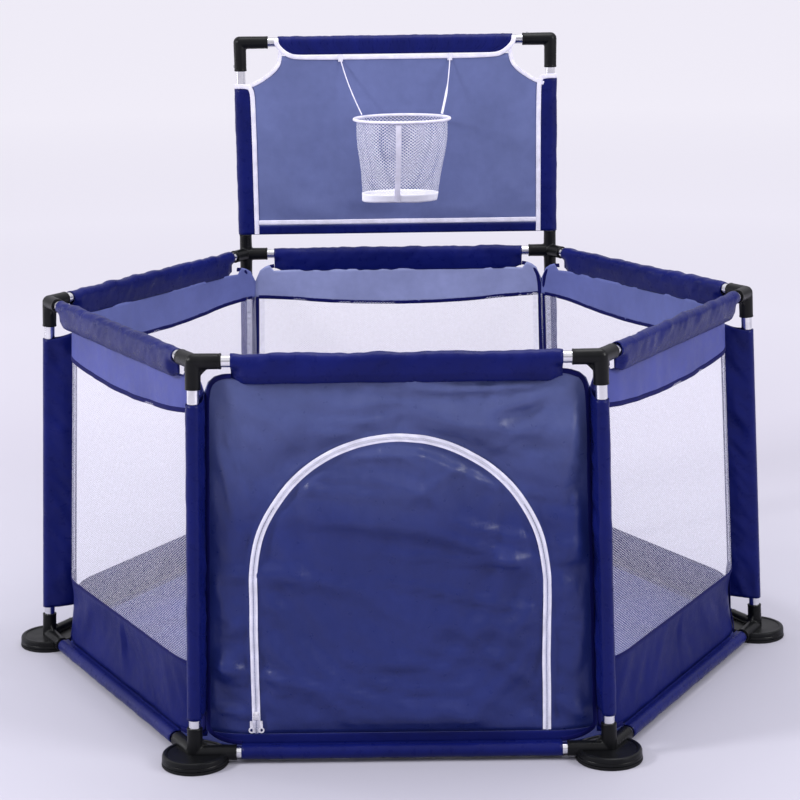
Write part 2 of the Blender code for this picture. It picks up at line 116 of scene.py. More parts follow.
# Door and zip, on the front wall.
DOOR_HALF_WIDTH = 0.231
DOOR_HINGE_Z = middle("door_panel").z - size("door_panel").z / 2
DOOR_CROWN_Z = 0.522
ZIP_LOW_Z = DOOR_HINGE_Z + 0.002
TAPE_LOW_Z = DOOR_HINGE_Z + 0.004
TAPE_WIDTH = 0.0058
TAPE_THICKNESS = 0.0008
TOOTH_PITCH = 0.0026
TOOTH_R = 0.0011
ZIP_WANDER = 0.0026

# Backboard and basket.
BOARD_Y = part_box("backboard_cover")[0].y
BOARD_LOW_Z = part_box("backboard_cover")[0].z
BOARD_SLEEVE_DROP = 0.025
BOARD_SIDE_IN = 0.021
BOARD_SIDE_TOP_Z = {"left": 0.985, "right": 0.998}
BOARD_HEM_Z = 0.7065
BOARD_TRIM_Z = 0.713
BOARD_TOP_END, BOARD_LOW_END = 0.077, 0.107
BOARD_SIDE_SLEEVE_R = 0.0135
TRIM_WIDTH = 0.0092
TRIM_THICKNESS = 0.0018
RING_CENTRE = middle("basket_ring")
RING_WIRE_R = size("basket_ring").z / 2
RING_R = size("basket_ring").x / 2 - RING_WIRE_R
NET_TOP_R = 0.0895
NET_BOTTOM_R = 0.074
NET_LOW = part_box("basket_net")[0].z
TAB_X = 0.110
TAB_Z = 1.0405
STRING_D = 0.0028
STRING_BOW = 0.003
STRING_ANGLE = 32
TAB_WIDTH, TAB_HEIGHT, TAB_THICKNESS = 0.0095, 0.014, 0.0022
NET_TAPE_WIDTH = 0.011
NET_HEM = 0.018

# Floor cloth: a hexagon with cut corners whose lip turns up behind the skirts.
FLOOR_INSET = 0.026
FLOOR_CORNER_CUT = 0.062
FLOOR_LAY = 0.0036
FLOOR_LIP = 0.022
FLOOR_TURN_UP = 0.016
FLOOR_CLOTH = 0.0016


# ---------------------------------------------------------------- frame geometry


def side_at(z):
    share = (z - BOTTOM_Z) / (TOP_Z - BOTTOM_Z)
    return (BOTTOM_APOTHEM + (TOP_APOTHEM - BOTTOM_APOTHEM) * share) * 2 / math.sqrt(3)


def apothem_at(z):
    return side_at(z) * math.sqrt(3) / 2


def corner(index, z):
    angle = math.radians(60 * index)
    return Vector((side_at(z) * math.cos(angle), side_at(z) * math.sin(angle), z))


def wall_point(index, u, inset, z, level=None):
    """A point on a wall: u along it, inset inwards from its rails' plane. level fixes the plane's own height."""
    angle = math.radians(60 * index + 30)
    out = Vector((math.cos(angle), math.sin(angle), 0))
    beside = Vector((-math.sin(angle), math.cos(angle), 0))
    return out * (apothem_at(z if level is None else level) - inset) + beside * u + UP * z


def seam_inset(index, u):
    """How far inside the post the seam is, at the end of the wall that u points to."""
    return SEAM_INSETS[CORNERS[(index + (u > 0)) % 6]]


def half_width(index, u, z):
    """From a wall's middle to the seam inside the post, on the side that u points to."""
    return side_at(z) / 2 - seam_inset(index, u) / 2


def web_inset(index, u, z):
    """The web lies just inside the rails and turns in near its ends, to meet the seam."""
    half = half_width(index, u, z)
    start = DOOR_HALF_WIDTH + TAPE_WIDTH if index == FRONT else half - SEAM_RAMP
    share = max(0.0, (abs(u) - start) / (half - start))
    return WEB_INSET + (seam_inset(index, u) * math.sqrt(3) / 2 - WEB_INSET) * share * share


def quarter_round(share):
    """0 to 1 as a quarter of a circle: level at the start, upright at the end."""
    share = min(max(share, 0.0), 1.0)
    return 1 - math.sqrt(1 - share * share)


def web_top(index, u):
    """The top edge of a wall's web: under the sleeve, then a rounded notch down to the seam."""
    end, half = side_at(TOP_Z) / 2 - TOP_SLEEVE_END, half_width(index, u, TOP_Z)
    if abs(u) < end:
        return TOP_Z - SLEEVE_DROP + 0.003
    share = (abs(u) - end) / (half - end)
    return TOP_Z - NOTCH_DROP - (SEAM_DROP - NOTCH_DROP) * quarter_round(share)


def web_low(index, u):
    """The bottom edge: behind the bottom sleeve, then a rounded notch up to the seam."""
    end, half = side_at(BOTTOM_Z) / 2 - BOTTOM_SLEEVE_END, half_width(index, u, BOTTOM_Z)
    share = (abs(u) - end) / (half - end)
    return BOTTOM_Z + 0.010 + 0.022 * quarter_round(share)


def band_low(index, u):
    """The lower edge of the band under the top sleeve, a little higher at its ends."""
    share = u / half_width(index, u, TOP_Z)
    return TOP_Z - BAND_DROP + BAND_RISE * share * share


def spoke(index):
    """The level direction from the yard's middle to a corner."""
    return Vector((math.cos(math.radians(60 * index)), math.sin(math.radians(60 * index)), 0))


def arc(radius, first, last, step):
    """Points on a circle about the origin, at angles in whole degrees."""
    return [(radius * math.cos(math.radians(a)), radius * math.sin(math.radians(a))) for a in range(first, last, step)]


def add_object(name, data):
    obj = bpy.data.objects.new(name, data)
    bpy.context.scene.collection.objects.link(obj)
    return obj


def mesh_of(bm, name):
    """A bmesh as a mesh. The bmesh is freed."""
    mesh = bpy.data.meshes.new(name)
    bm.to_mesh(mesh)
    bm.free()
    return mesh


def grid_faces(rows, across):
    """The faces of a grid of points that are numbered row by row."""
    starts = [row * across + column for row in range(rows - 1) for column in range(across - 1)]
    return [(start, start + 1, start + across + 1, start + across) for start in starts]


def girth_of(profile):
    """How far along a profile each of its points is."""
    return np.concatenate([[0], np.cumsum([math.dist(a, b) for a, b in zip(profile, profile[1:])])])


def fill_ramp(ramp, stops):
    elements = ramp.color_ramp.elements
    while len(elements) < len(stops):
        elements.new(0.5)
    for element, (position, colour) in zip(elements, stops):
        element.position = position
        element.color = (*colour, 1)


def ripple(u, v, scale_u, scale_v, seed):
    """Smooth noise from -1 to 1, with its own scale each way."""
    return noise.noise(Vector((u * scale_u, v * scale_v, seed * 7.3)))


# ---------------------------------------------------------------- slack cloth


def slack_cloth(width, height, holds, slack, depth_wanted, spacing, frames, seed):
    """Hangs a sheet of cloth that is a little too big for its edges, and returns how far it stands out at (u, v).

    holds(u, v) is how firmly the cloth is sewn there, from 0 to 1. depth_wanted is what its folds are scaled to.
    """
    across, up = round(width / spacing) + 1, round(height / spacing) + 1
    mesh = bpy.data.meshes.new("slack_cloth")
    verts, holding = [], []
    for row in range(up):
        for column in range(across):
            u, v = width * (column / (across - 1) - 0.5), height * row / (up - 1)
            verts.append((u, 0.0012 * ripple(u, v, 14, 14, seed), v))
            holding.append(holds(u, v))
    mesh.from_pydata(verts, [], grid_faces(up, across))
    obj = add_object("slack_cloth", mesh)
    group = obj.vertex_groups.new(name="sewn")
    for number, weight in enumerate(holding):
        if weight > 0:
            group.add([number], weight, "REPLACE")
    cloth_modifier = obj.modifiers.new("Cloth", "CLOTH")
    settings = cloth_modifier.settings
    settings.quality = 5
    settings.mass = 0.15
    settings.tension_stiffness = settings.compression_stiffness = 20
    settings.shear_stiffness = 8
    settings.bending_stiffness = 0.4
    settings.shrink_min = -slack
    settings.vertex_group_mass = "sewn"
    cloth_modifier.collision_settings.use_collision = False
    cloth_modifier.point_cache.frame_start = 1
    cloth_modifier.point_cache.frame_end = frames
    scene = bpy.context.scene
    for number in range(1, frames + 1):
        scene.frame_set(number)
    evaluated = obj.evaluated_get(bpy.context.evaluated_depsgraph_get())
    found = np.zeros(len(verts) * 3, np.float32)
    evaluated.data.vertices.foreach_get("co", found)
    depth = found.reshape(up, across, 3)[:, :, 1].astype(float)
    padded = np.pad(depth, 1, mode="edge")
    near = padded[:-2, 1:-1] + padded[2:, 1:-1] + padded[1:-1, :-2] + padded[1:-1, 2:]
    depth = 0.5 * depth + 0.125 * near
    depth *= depth_wanted / max(np.percentile(np.abs(depth), 97), 0.0001)
    bpy.data.objects.remove(obj, do_unlink=True)
    scene.frame_set(1)

    def relief(u, v):
        x = min(max((u / width + 0.5) * (across - 1), 0.0), across - 1.001)
        y = min(max(v / height * (up - 1), 0.0), up - 1.001)
        column, row = int(x), int(y)
        x, y = x - column, y - row
        low = depth[row, column] * (1 - x) + depth[row, column + 1] * x
        high = depth[row + 1, column] * (1 - x) + depth[row + 1, column + 1] * x
        return -float(low * (1 - y) + high * y)

    return relief


# ---------------------------------------------------------------- materials


class Shader:
    """A Principled material whose nodes are added and linked by name."""

    def __init__(self, name, colour, roughness, **values):
        self.material = bpy.data.materials.new(name)
        self.material.use_nodes = True
        self.tree = self.material.node_tree
        self.out = self.tree.nodes["Principled BSDF"]
        self.out.inputs["Base Color"].default_value = (*colour, 1)
        self.out.inputs["Roughness"].default_value = roughness
        for key, value in values.items():
            self.out.inputs[key.replace("_", " ")].default_value = value

    def node(self, kind, inputs=None, **settings):
        made = self.tree.nodes.new(f"ShaderNode{kind}")
        for key, value in settings.items():
            setattr(made, key, value)
        for key, value in (inputs or {}).items():
            if isinstance(value, bpy.types.NodeSocket):
                self.tree.links.new(value, made.inputs[key])
            else:
                made.inputs[key].default_value = value
        return made

    def math(self, operation, first, second=0.0):
        made = self.node("Math", {0: first, 1: second}, operation=operation)
        return made.outputs[0]

    def coordinates(self, kind, scale=(1, 1, 1), turn=0.0):
        place = self.node("TexCoord").outputs[kind]
        mapped = self.node("Mapping", {"Vector": place, "Scale": scale, "Rotation": (0, 0, turn)})
        return mapped.outputs[0]

    def noise(self, place, scale, detail=2.0, roughness=0.5):
        made = self.node("TexNoise", {"Vector": place, "Scale": scale, "Detail": detail, "Roughness": roughness})
        return made.outputs[0]

    def wave(self, place, period, along="X"):
        """Bands from 0 to 1 across the place's X or Y, with the period in metres."""
        made = self.node("TexWave", {"Vector": place, "Scale": math.pi / (10 * period)}, bands_direction=along)
        return made.outputs[1]

    def colours(self, factor, stops):
        ramp = self.node("ValToRGB", {"Fac": factor})
        fill_ramp(ramp, stops)
        return ramp.outputs[0]

    def spread(self, factor, low, high, low_at=0.3, high_at=0.7):
        made = self.node(
            "MapRange",
            {"Value": factor, "From Min": low_at, "From Max": high_at, "To Min": low, "To Max": high},
        )
        return made.outputs[0]

    def bump(self, height, distance, strength=1.0, below=None):
        inputs = {"Height": height, "Distance": distance, "Strength": strength}
        if below is not None:
            inputs["Normal"] = below
        return self.node("Bump", inputs).outputs[0]

    def set(self, socket, value):
        self.tree.links.new(value, self.out.inputs[socket])


def shade(colour, factor):
    return tuple(channel * factor for channel in colour)


def woven(name, colour, roughness=0.42, thread=0.0009, painted_sheen=0.22, crinkle=1.0, gloss=0.2, painted_top_light=None):
    """Coated oxford cloth: a plain weave, soft blotches painted lighter and darker as painted sheen where the coating
    catches the light, and small creases.

    The colour given last is painted high up on the front wall: painted light, where light comes through the cloth from
    above.
    """
    made = Shader(name, colour, roughness, Sheen_Weight=0.012, Sheen_Roughness=0.4, Specular_IOR_Level=gloss)
    made.out.inputs["Sheen Tint"].default_value = (0.62, 0.66, 1.0, 1)
    place = made.coordinates("UV")
    warp = made.wave(place, thread)
    weft = made.wave(place, thread, "Y")
    weave = made.math("MULTIPLY", warp, weft)
    cloud = made.noise(place, 7.0, 3.0)
    fine = made.noise(place, 60.0, 2.0)
    tone = made.math("ADD", made.math("MULTIPLY", cloud, 0.72), made.math("MULTIPLY", fine, 0.28))
    tone = made.math("ADD", tone, made.math("MULTIPLY", weave, 0.05))
    # Painted sheen: soft blotches of the cloth are painted lighter and darker, for where the coating catches the light.
    dark, light = shade(colour, 1 - painted_sheen), shade(colour, 1 + 1.3 * painted_sheen)
    base = made.colours(tone, [(0.30, dark), (0.5, colour), (0.72, light)])
    # Painted light: the cloth turns to the paler colour towards its top, for light that comes through it from above.
    if painted_top_light:
        lit = made.colours(tone, [(0.30, shade(painted_top_light, 1 - painted_sheen)), (0.5, painted_top_light), (0.72, shade(painted_top_light, 1 + painted_sheen))])
        drift = made.math("MULTIPLY", made.noise(place, 4.5, 2.0), 0.16)
        height = made.math("ADD", made.node("SeparateXYZ", {"Vector": place}).outputs[1], drift)
        base = made.node(
            "Mix", {"Factor": made.spread(height, 0.0, 1.0, 0.45, 0.68), "A": base, "B": lit}, data_type="RGBA"
        ).outputs["Result"]
    made.set("Base Color", base)
    made.set("Roughness", made.spread(fine, roughness - 0.05, roughness + 0.07))
    creases = made.noise(made.coordinates("UV", (1, 0.55, 1), 0.5), 34.0, 4.0, 0.55)
    under = made.bump(creases, 0.0022 * crinkle, 0.55)
    made.set("Normal", made.bump(weave, 0.00010, 0.5, under))
    return made.material


def taped(name, colour, roughness=0.6, rib=0.0016, stitch=0.0032, gloss=0.3):
    """Ribbed binding tape, stitched near each edge. Its UV runs along it, and across it from its middle."""
    made = Shader(name, colour, roughness, Sheen_Weight=0.03, Sheen_Roughness=0.5, Specular_IOR_Level=gloss)
    place = made.coordinates("UV")
    ribs = made.wave(place, rib)
    parts = made.node("SeparateXYZ", {"Vector": place})
    across = made.math("ABSOLUTE", parts.outputs[1])
    beside = made.math("LESS_THAN", made.math("ABSOLUTE", made.math("SUBTRACT", across, 0.0025)), 0.00045)
    dashes = made.math("GREATER_THAN", made.wave(place, stitch), 0.35)
    thread = made.math("MULTIPLY", beside, dashes)
    wear = made.noise(place, 45.0, 3.0)
    made.set("Base Color", made.colours(wear, [(0.3, shade(colour, 0.84)), (0.7, shade(colour, 1.08))]))
    made.set("Roughness", made.spread(wear, roughness - 0.06, roughness + 0.08))
    under = made.bump(ribs, 0.00018, 0.5)
    made.set("Normal", made.bump(thread, 0.0005, 0.7, under))
    return made.material


def netting(name, colour, pitch, strand):
    """Knitted net: two slanting sets of threads with clear holes between them."""
    made = Shader(name, colour, 0.7, Sheen_Weight=0.05, Specular_IOR_Level=0.2)
    first = made.wave(made.coordinates("UV", (1, 1, 1), math.radians(55)), pitch)
    second = made.wave(made.coordinates("UV", (1, 1, 1), math.radians(-55)), pitch)
    threads = made.math("MAXIMUM", first, second)
    level = 0.5 + 0.5 * math.cos(math.pi * strand)
    made.set("Alpha", made.math("GREATER_THAN", threads, level))
    fuzz = made.noise(made.coordinates("UV"), 140.0, 2.0)
    made.set("Base Color", made.colours(fuzz, [(0.3, shade(colour, 0.85)), (0.7, shade(colour, 1.1))]))
    made.set("Normal", made.bump(threads, 0.0004, 0.6))
    return made.material


def plated():
    made = Shader("plated_steel", (0.72, 0.72, 0.75), 0.13, Metallic=1.0)
    place = made.coordinates("Object")
    smear = made.noise(place, 38.0, 3.0)
    grain = made.noise(place, 900.0, 1.0)
    made.set("Base Color", made.colours(smear, [(0.3, (0.60, 0.60, 0.64)), (0.7, (0.80, 0.80, 0.83))]))
    made.set("Roughness", made.spread(smear, 0.09, 0.2))
    made.set("Normal", made.bump(grain, 0.00003, 0.4))
    return made.material


def moulded(name, colour, roughness, grain):
    """Moulded plastic or rubber: fine grain, and paler scuffs on its outer edges."""
    made = Shader(name, colour, roughness, Specular_IOR_Level=0.16)
    place = made.coordinates("Object")
    speckle = made.noise(place, 1100.0, 2.0)
    smear = made.noise(place, 26.0, 4.0, 0.6)
    edge = made.node("NewGeometry").outputs["Pointiness"]
    worn = made.spread(edge, 0.0, 1.0, 0.53, 0.60)
    tone = made.math("ADD", made.math("MULTIPLY", smear, 0.6), made.math("MULTIPLY", worn, 0.35))
    stops = [(0.25, shade(colour, 0.75)), (0.6, shade(colour, 1.5)), (1.0, shade(colour, 4))]
    made.set("Base Color", made.colours(tone, stops))
    made.set("Roughness", made.spread(smear, roughness - 0.07, roughness + 0.12))
    made.set("Normal", made.bump(speckle, grain, 0.5))
    return made.material


def zip_metal(name, colour):
    made = Shader(name, colour, 0.35, Metallic=0.35, Coat_Weight=0.3)
    smear = made.noise(made.coordinates("Object"), 220.0, 3.0)
    made.set("Base Color", made.colours(smear, [(0.3, shade(colour, 0.8)), (0.7, shade(colour, 1.1))]))
    made.set("Roughness", made.spread(smear, 0.26, 0.45))
    made.set("Normal", made.bump(smear, 0.00008, 0.5))
    return made.material


STEEL = plated()
PLASTIC = moulded("black_plastic", (0.0045, 0.0048, 0.0058), 0.30, 0.00008)
RUBBER = moulded("black_rubber", (0.004, 0.004, 0.005), 0.55, 0.00014)
NAVY = woven("navy_cloth", (0.004, 0.007, 0.086), 0.38, painted_sheen=0.18, gloss=0.07)
PANEL = woven(
    "navy_panel_cloth", (0.012, 0.020, 0.120), 0.32, painted_sheen=0.13, crinkle=1.5, gloss=0.28, painted_top_light=(0.062, 0.079, 0.210),
)
NAVY_DEEP = woven("navy_sleeve_cloth", (0.0035, 0.0065, 0.086), 0.30, gloss=0.12)
FLOOR_NAVY = woven("navy_floor_cloth", (0.020, 0.030, 0.150), 0.5, painted_sheen=0.25, gloss=0.1)
NAVY_BINDING = taped("navy_binding", (0.003, 0.004, 0.075), gloss=0.06)
BLUE = woven("blue_grey_cloth", (0.105, 0.127, 0.285), 0.5, painted_sheen=0.12, crinkle=0.7, gloss=0.2)
# One blue-grey band cloth in three brightnesses, as painted light and shade: darker on the near walls' outer faces,
# lighter on the far side walls and lightest on the rear.
BAND_PAINTED_SHADE = woven("band_cloth_painted_shade", (0.050, 0.060, 0.235), 0.45, painted_sheen=0.2, crinkle=0.9, gloss=0.2)
BAND_PAINTED_HALF_LIGHT = woven("band_cloth_painted_half_light", (0.105, 0.125, 0.330), 0.5, painted_sheen=0.14, crinkle=0.8, gloss=0.2)
BAND_PAINTED_LIGHT = woven("band_cloth_rear", (0.210, 0.235, 0.430), 0.5, painted_sheen=0.14, crinkle=0.8, gloss=0.2)
WHITE = taped("white_trim", (0.72, 0.70, 0.83))
WHITE_FRAY = woven("white_hem", (0.76, 0.75, 0.84), 0.6, thread=0.0012, painted_sheen=0.1)
WALL_NET = netting("white_wall_net", (0.78, 0.77, 0.90), 0.0034, 0.115)
NET_EDGE = netting("white_net_selvedge", (0.76, 0.75, 0.85), 0.0026, 0.28)
BASKET_NET = netting("white_basket_net", (0.80, 0.79, 0.88), 0.0048, 0.14)
ZIP_TAPE = taped("zip_tape", (0.76, 0.75, 0.88), 0.62, 0.0009, 0.0026)
ZIP_TEETH = taped("zip_teeth", (0.58, 0.58, 0.70), 0.45, 0.0013, 0.0013)
ZIP_METAL = zip_metal("zip_pull_metal", (0.70, 0.69, 0.76))
BUTTON_STEEL = zip_metal("button_steel", (0.30, 0.30, 0.33))


# ---------------------------------------------------------------- mesh helpers


def link(name, data, material, body, stands_for=()):
    """A piece of the model: its material, the body it rides on and the nodes it stands for."""
    obj = add_object(name, data)
    data.materials.clear()
    data.materials.append(material)
    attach(obj, body)
    if stands_for:
        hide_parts(*stands_for)
    return obj


def grid_mesh(name, points, uvs):
    """Rows of points as a smooth mesh. Its UV map is in metres of cloth."""
    mesh = bpy.data.meshes.new(name)
    faces = grid_faces(len(points), len(points[0]))
    mesh.from_pydata([tuple(point) for row in points for point in row], [], faces)
    flat = np.array([uv for row in uvs for uv in row], np.float32)
    corners = np.zeros(len(mesh.loops), np.int32)
    mesh.loops.foreach_get("vertex_index", corners)
    mesh.uv_layers.new(name="cloth").data.foreach_set("uv", flat[corners].ravel())
    mesh.shade_smooth()
    return mesh


def thicken(obj, thickness):
    solid = obj.modifiers.new("thickness", "SOLIDIFY")
    solid.thickness = thickness
    solid.offset = 0


def cloth(
    name, points, uvs, material, slot, body="yard", held="stretched", rests_on=(), trims=(), stands_for=(), net=False,
    curved_grid=False,
):
    """A sewn sheet of cloth over a grid of points."""
    obj = link(name, grid_mesh(name, points, uvs), material, body, stands_for)
    if not net:
        thicken(obj, CLOTH)


def ribbon(name, path, normals, width, thickness, material, body="yard"):
    """A flat tape along a path, with rounded edges. normals point out of its face."""
    section = []
    for step in range(12):
        angle = math.radians(30 * step)
        x, y = math.cos(angle), math.sin(angle)
        across, deep = math.copysign(abs(x) ** 0.5, x), math.copysign(abs(y) ** 0.8, y)
        section.append((across * width / 2, deep * thickness / 2))
    points, uvs, run = [], [], 0.0
    for number, place in enumerate(path):
        before, after = path[max(number - 1, 0)], path[min(number + 1, len(path) - 1)]
        ahead = (after - before).normalized()
        face = (normals[number] - ahead * normals[number].dot(ahead)).normalized()
        beside = ahead.cross(face)
        if number:
            run += (place - path[number - 1]).length
        loop = section + section[:1]
        points.append([place + beside * x + face * y for x, y in loop])
        uvs.append([(run, x) for x, _ in loop])
    mesh = grid_mesh(name, points, uvs)
    bm = bmesh.new()
    bm.from_mesh(mesh)
    bmesh.ops.remove_doubles(bm, verts=bm.verts, dist=0.00001)
    edges = [edge for edge in bm.edges if edge.is_boundary]
    bmesh.ops.holes_fill(bm, edges=edges)
    bmesh.ops.recalc_face_normals(bm, faces=bm.faces)
    bm.to_mesh(mesh)
    bm.free()
    mesh.shade_smooth()
    mesh.set_sharp_from_angle(angle=math.radians(50))
    return link(name, mesh, material, body)


def resampled(points, count):
    """The polyline's points again, evenly spaced."""
    line = np.array([tuple(point) for point in points], float)
    along = np.concatenate([[0], np.cumsum(np.linalg.norm(np.diff(line, axis=0), axis=1))])
    at = np.linspace(0, along[-1], count)
    return [tuple(np.interp(value, along, line[:, axis]) for axis in range(line.shape[1])) for value in at]


def rounded(points, count, rounds=3):
    """An outline with its corners cut, then evenly spaced."""
    line = [tuple(point) for point in points]
    for _ in range(rounds):
        cut = [line[0]]
        for first, second in zip(line, line[1:]):
            cut.append(tuple(0.75 * a + 0.25 * b for a, b in zip(first, second)))
            cut.append(tuple(0.25 * a + 0.75 * b for a, b in zip(first, second)))
        line = cut + [line[-1]]
    return resampled(line, count)


def along(origin, direction):
    """A matrix at origin whose +Z points along direction."""
    turn = UP.rotation_difference(Vector(direction)).to_matrix().to_4x4()
    return Matrix.Translation(origin) @ turn


def lathe_mesh(name, profile, segments, closed=True, matrix=None, sharp=40):
    """A profile of (radius, height) turned about Z. A closed one is a ring, an open one starts and ends on the axis."""
    bm = bmesh.new()
    loop = list(profile) + ([profile[0]] if closed else [])
    verts = [[bm.verts.new((r, 0, z)) for r, z in loop]]
    edges = [bm.edges.new(pair) for pair in zip(verts[0], verts[0][1:])]
    bmesh.ops.spin(
        bm, geom=verts[0] + edges, cent=(0, 0, 0), axis=(0, 0, 1), angle=math.tau, steps=segments, use_merge=True
    )
    bmesh.ops.remove_doubles(bm, verts=bm.verts, dist=0.000002)
    bmesh.ops.recalc_face_normals(bm, faces=bm.faces)
    if matrix is not None:
        bm.transform(matrix)
    mesh = mesh_of(bm, name)
    mesh.shade_smooth()
    mesh.set_sharp_from_angle(angle=math.radians(sharp))
    return mesh


# ---------------------------------------------------------------- mouldings


def bar(direction, length, root_r, mouth_r, low=0.0):
    """A slightly tapered arm with a rim at its mouth."""
    lip = 0.003
    profile = [(0, low), (root_r, low), (mouth_r, length - lip), (mouth_r + 0.0005, length - lip * 0.8)]
    profile += [(mouth_r + 0.0005, length - 0.0004), (mouth_r, length), (0, length)]
    return lathe_mesh("bar", profile, 40, closed=False, matrix=along((0, 0, 0), direction))


def plate(first, second, reach):
    """A gusset between two arms."""
    normal = first.cross(second).normalized() * WEB_THICKNESS
    bm = bmesh.new()
    face = bm.faces.new([bm.verts.new(point - normal / 2) for point in (Vector(), first * reach, second * reach)])
    grown = bmesh.ops.extrude_face_region(bm, geom=[face])["geom"]
    bmesh.ops.translate(bm, verts=[item for item in grown if isinstance(item, bmesh.types.BMVert)], vec=normal)
    bmesh.ops.recalc_face_normals(bm, faces=bm.faces)
    return mesh_of(bm, "plate")


def evaluated_mesh(obj):
    bpy.context.view_layer.update()
    graph = bpy.context.evaluated_depsgraph_get()
    return bpy.data.meshes.new_from_object(obj.evaluated_get(graph))


def moulding(name, solids, bores):
    """Overlapping solids run into one moulding with soft inner corners, then bored out for its tubes."""
    bm = bmesh.new()
    for solid in solids:
        bm.from_mesh(solid)
    obj = add_object(name, mesh_of(bm, name))
    remesh = obj.modifiers.new("melt", "REMESH")
    remesh.mode = "VOXEL"
    remesh.voxel_size = MOULDING_VOXEL
    soften = obj.modifiers.new("soften", "SMOOTH")
    soften.factor = 0.5
    soften.iterations = 5
    cutters = []
    for bore in bores:
        cutter = add_object("bore", bore)
        cut = obj.modifiers.new("bore", "BOOLEAN")
        cut.operation = "DIFFERENCE"
        cut.solver = "EXACT"
        cut.object = cutter
        cutters.append(cutter)
    made = evaluated_mesh(obj)
    for helper in [obj, *cutters]:
        bpy.data.objects.remove(helper, do_unlink=True)
    made.shade_smooth()
    made.set_sharp_from_angle(angle=math.radians(50))
    return made


def bore_mesh(direction, low, length):
    radius = TUBE_R + 0.0003
    profile = [(0, low), (radius, low), (radius, length + 0.002), (0, length + 0.002)]
    return lathe_mesh("bore", profile, 40, closed=False, matrix=along((0, 0, 0), direction))


RAIL_ARMS = [Vector((-0.5, math.sqrt(3) / 2, 0)), Vector((-0.5, -math.sqrt(3) / 2, 0))]
POST_DOWN = (corner(0, BOTTOM_Z) - corner(0, TOP_Z)).normalized()


def knuckle():
    """The round middle where a socket's arms meet."""
    return lathe_mesh("knuckle", arc(SOCKET_R * 1.02, -90, 91, 15), 40, closed=False)


def build_mouldings():
    """The top and foot sockets with their discs and rubber feet, and the elbows of the hoop frame."""
    rails = [(direction, TOP_ARM) for direction in RAIL_ARMS]
    fat, thin = SOCKET_R + 0.0002, SOCKET_R - 0.0002

    def arms(pairs):
        return [bar(direction, length, fat, thin) for direction, length in pairs] + [knuckle()]

    def bores(pairs, floors):
        return [bore_mesh(direction, low, length) for (direction, length), low in zip(pairs, floors)]

    top = rails + [(POST_DOWN, TOP_ARM)]
    gussets = [plate(direction, POST_DOWN, WEB_REACH) for direction in RAIL_ARMS]
    three_way = moulding("three_way", arms(top) + gussets, bores(top, [BORE_FLOOR] * 3))
    rear = top + [(UP, UP_ARM)]
    four_way = moulding("four_way", arms(rear), bores(rear, [BORE_FLOOR] * 4))
    for index, place in enumerate(CORNERS):
        mesh = (four_way if place.startswith("rear") else three_way).copy()
        mesh.transform(Matrix.Translation(corner(index, TOP_Z)) @ Matrix.Rotation(math.radians(60 * index), 4, "Z"))
        link(f"top_socket_{place}", mesh, PLASTIC, "yard", [f"top_connector_{place}"])

    post_up = -POST_DOWN
    foot = [(direction, FOOT_RAIL_ARM) for direction in RAIL_ARMS] + [(post_up, FOOT_POST_ARM)]
    braces = [plate(direction, post_up, WEB_REACH) for direction in RAIL_ARMS]
    floors = [FOOT_BORE_FLOOR, FOOT_BORE_FLOOR, BORE_FLOOR]
    socket = moulding("foot_socket", arms(foot) + braces, bores(foot, floors))
    rim = [(0, 0.0178), (0.0435, 0.0178), (0.0452, DISC_TOP - 0.0002), (0.0488, DISC_TOP), (0.0512, 0.0182)]
    rim += [(0.0524, 0.0155), (0.0527, 0.0118), (0.0520, 0.0108), (0.0527, 0.0098)]
    rim += [(0.0530, 0.0064), (0.0522, 0.0058), (0, 0.0058)]
    lip = [(0, PAD_TOP), (0.0505, PAD_TOP), (0.0530, 0.0048), (PAD_R, 0.0030), (PAD_R, 0.0008)]
    lip += [(0.0528, 0), (0.046, 0), (0.040, 0.0016), (0, 0.0030)]
    for index, place in enumerate(CORNERS):
        centre = corner(index, BOTTOM_Z)
        mesh = socket.copy()
        mesh.transform(Matrix.Translation(centre) @ Matrix.Rotation(math.radians(60 * index), 4, "Z"))
        link(f"foot_socket_{place}", mesh, PLASTIC, "yard", [f"foot_connector_{place}"])
        flat = Matrix.Translation((centre.x, centre.y, 0))
        disc = lathe_mesh("foot_disc", rim, 96, closed=False, matrix=flat, sharp=30)
        link(f"foot_disc_{place}", disc, PLASTIC, "yard", [f"foot_connector_{place}"])
        pad = lathe_mesh("foot_pad", lip, 96, closed=False, matrix=flat, sharp=30)
        link(f"foot_pad_{place}", pad, RUBBER, "yard", [f"suction_foot_{place}"])

    for side, name in ((-1, "left"), (1, "right")):
        pairs = [(Vector((-side, 0, 0)), ELBOW_ARM), (-UP, ELBOW_ARM)]
        centre = Vector((side * POST_X, TOP_APOTHEM, HOOP_Z))
        holes = bores(pairs, [BORE_FLOOR] * 2)
        low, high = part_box(f"snap_button_{name}")
        spot = (low + high) / 2 - centre
        outward = Vector((-1, 0, 0)) if name == "left" else UP
        pin_r = (high.y - low.y) / 2 + 0.0004
        hole = [(0, 0.003), (pin_r, 0.003), (pin_r, 0.02), (0, 0.02)]
        root = spot - outward * spot.dot(outward)
        holes.append(lathe_mesh("button_hole", hole, 24, closed=False, matrix=along(root, outward)))
        mesh = moulding(f"elbow_{name}", arms(pairs), holes)
        mesh.transform(Matrix.Translation(centre))
        link(f"hoop_elbow_{name}", mesh, PLASTIC, "hoop_frame", [f"elbow_{name}"])
        build_button(name, root + centre, outward)


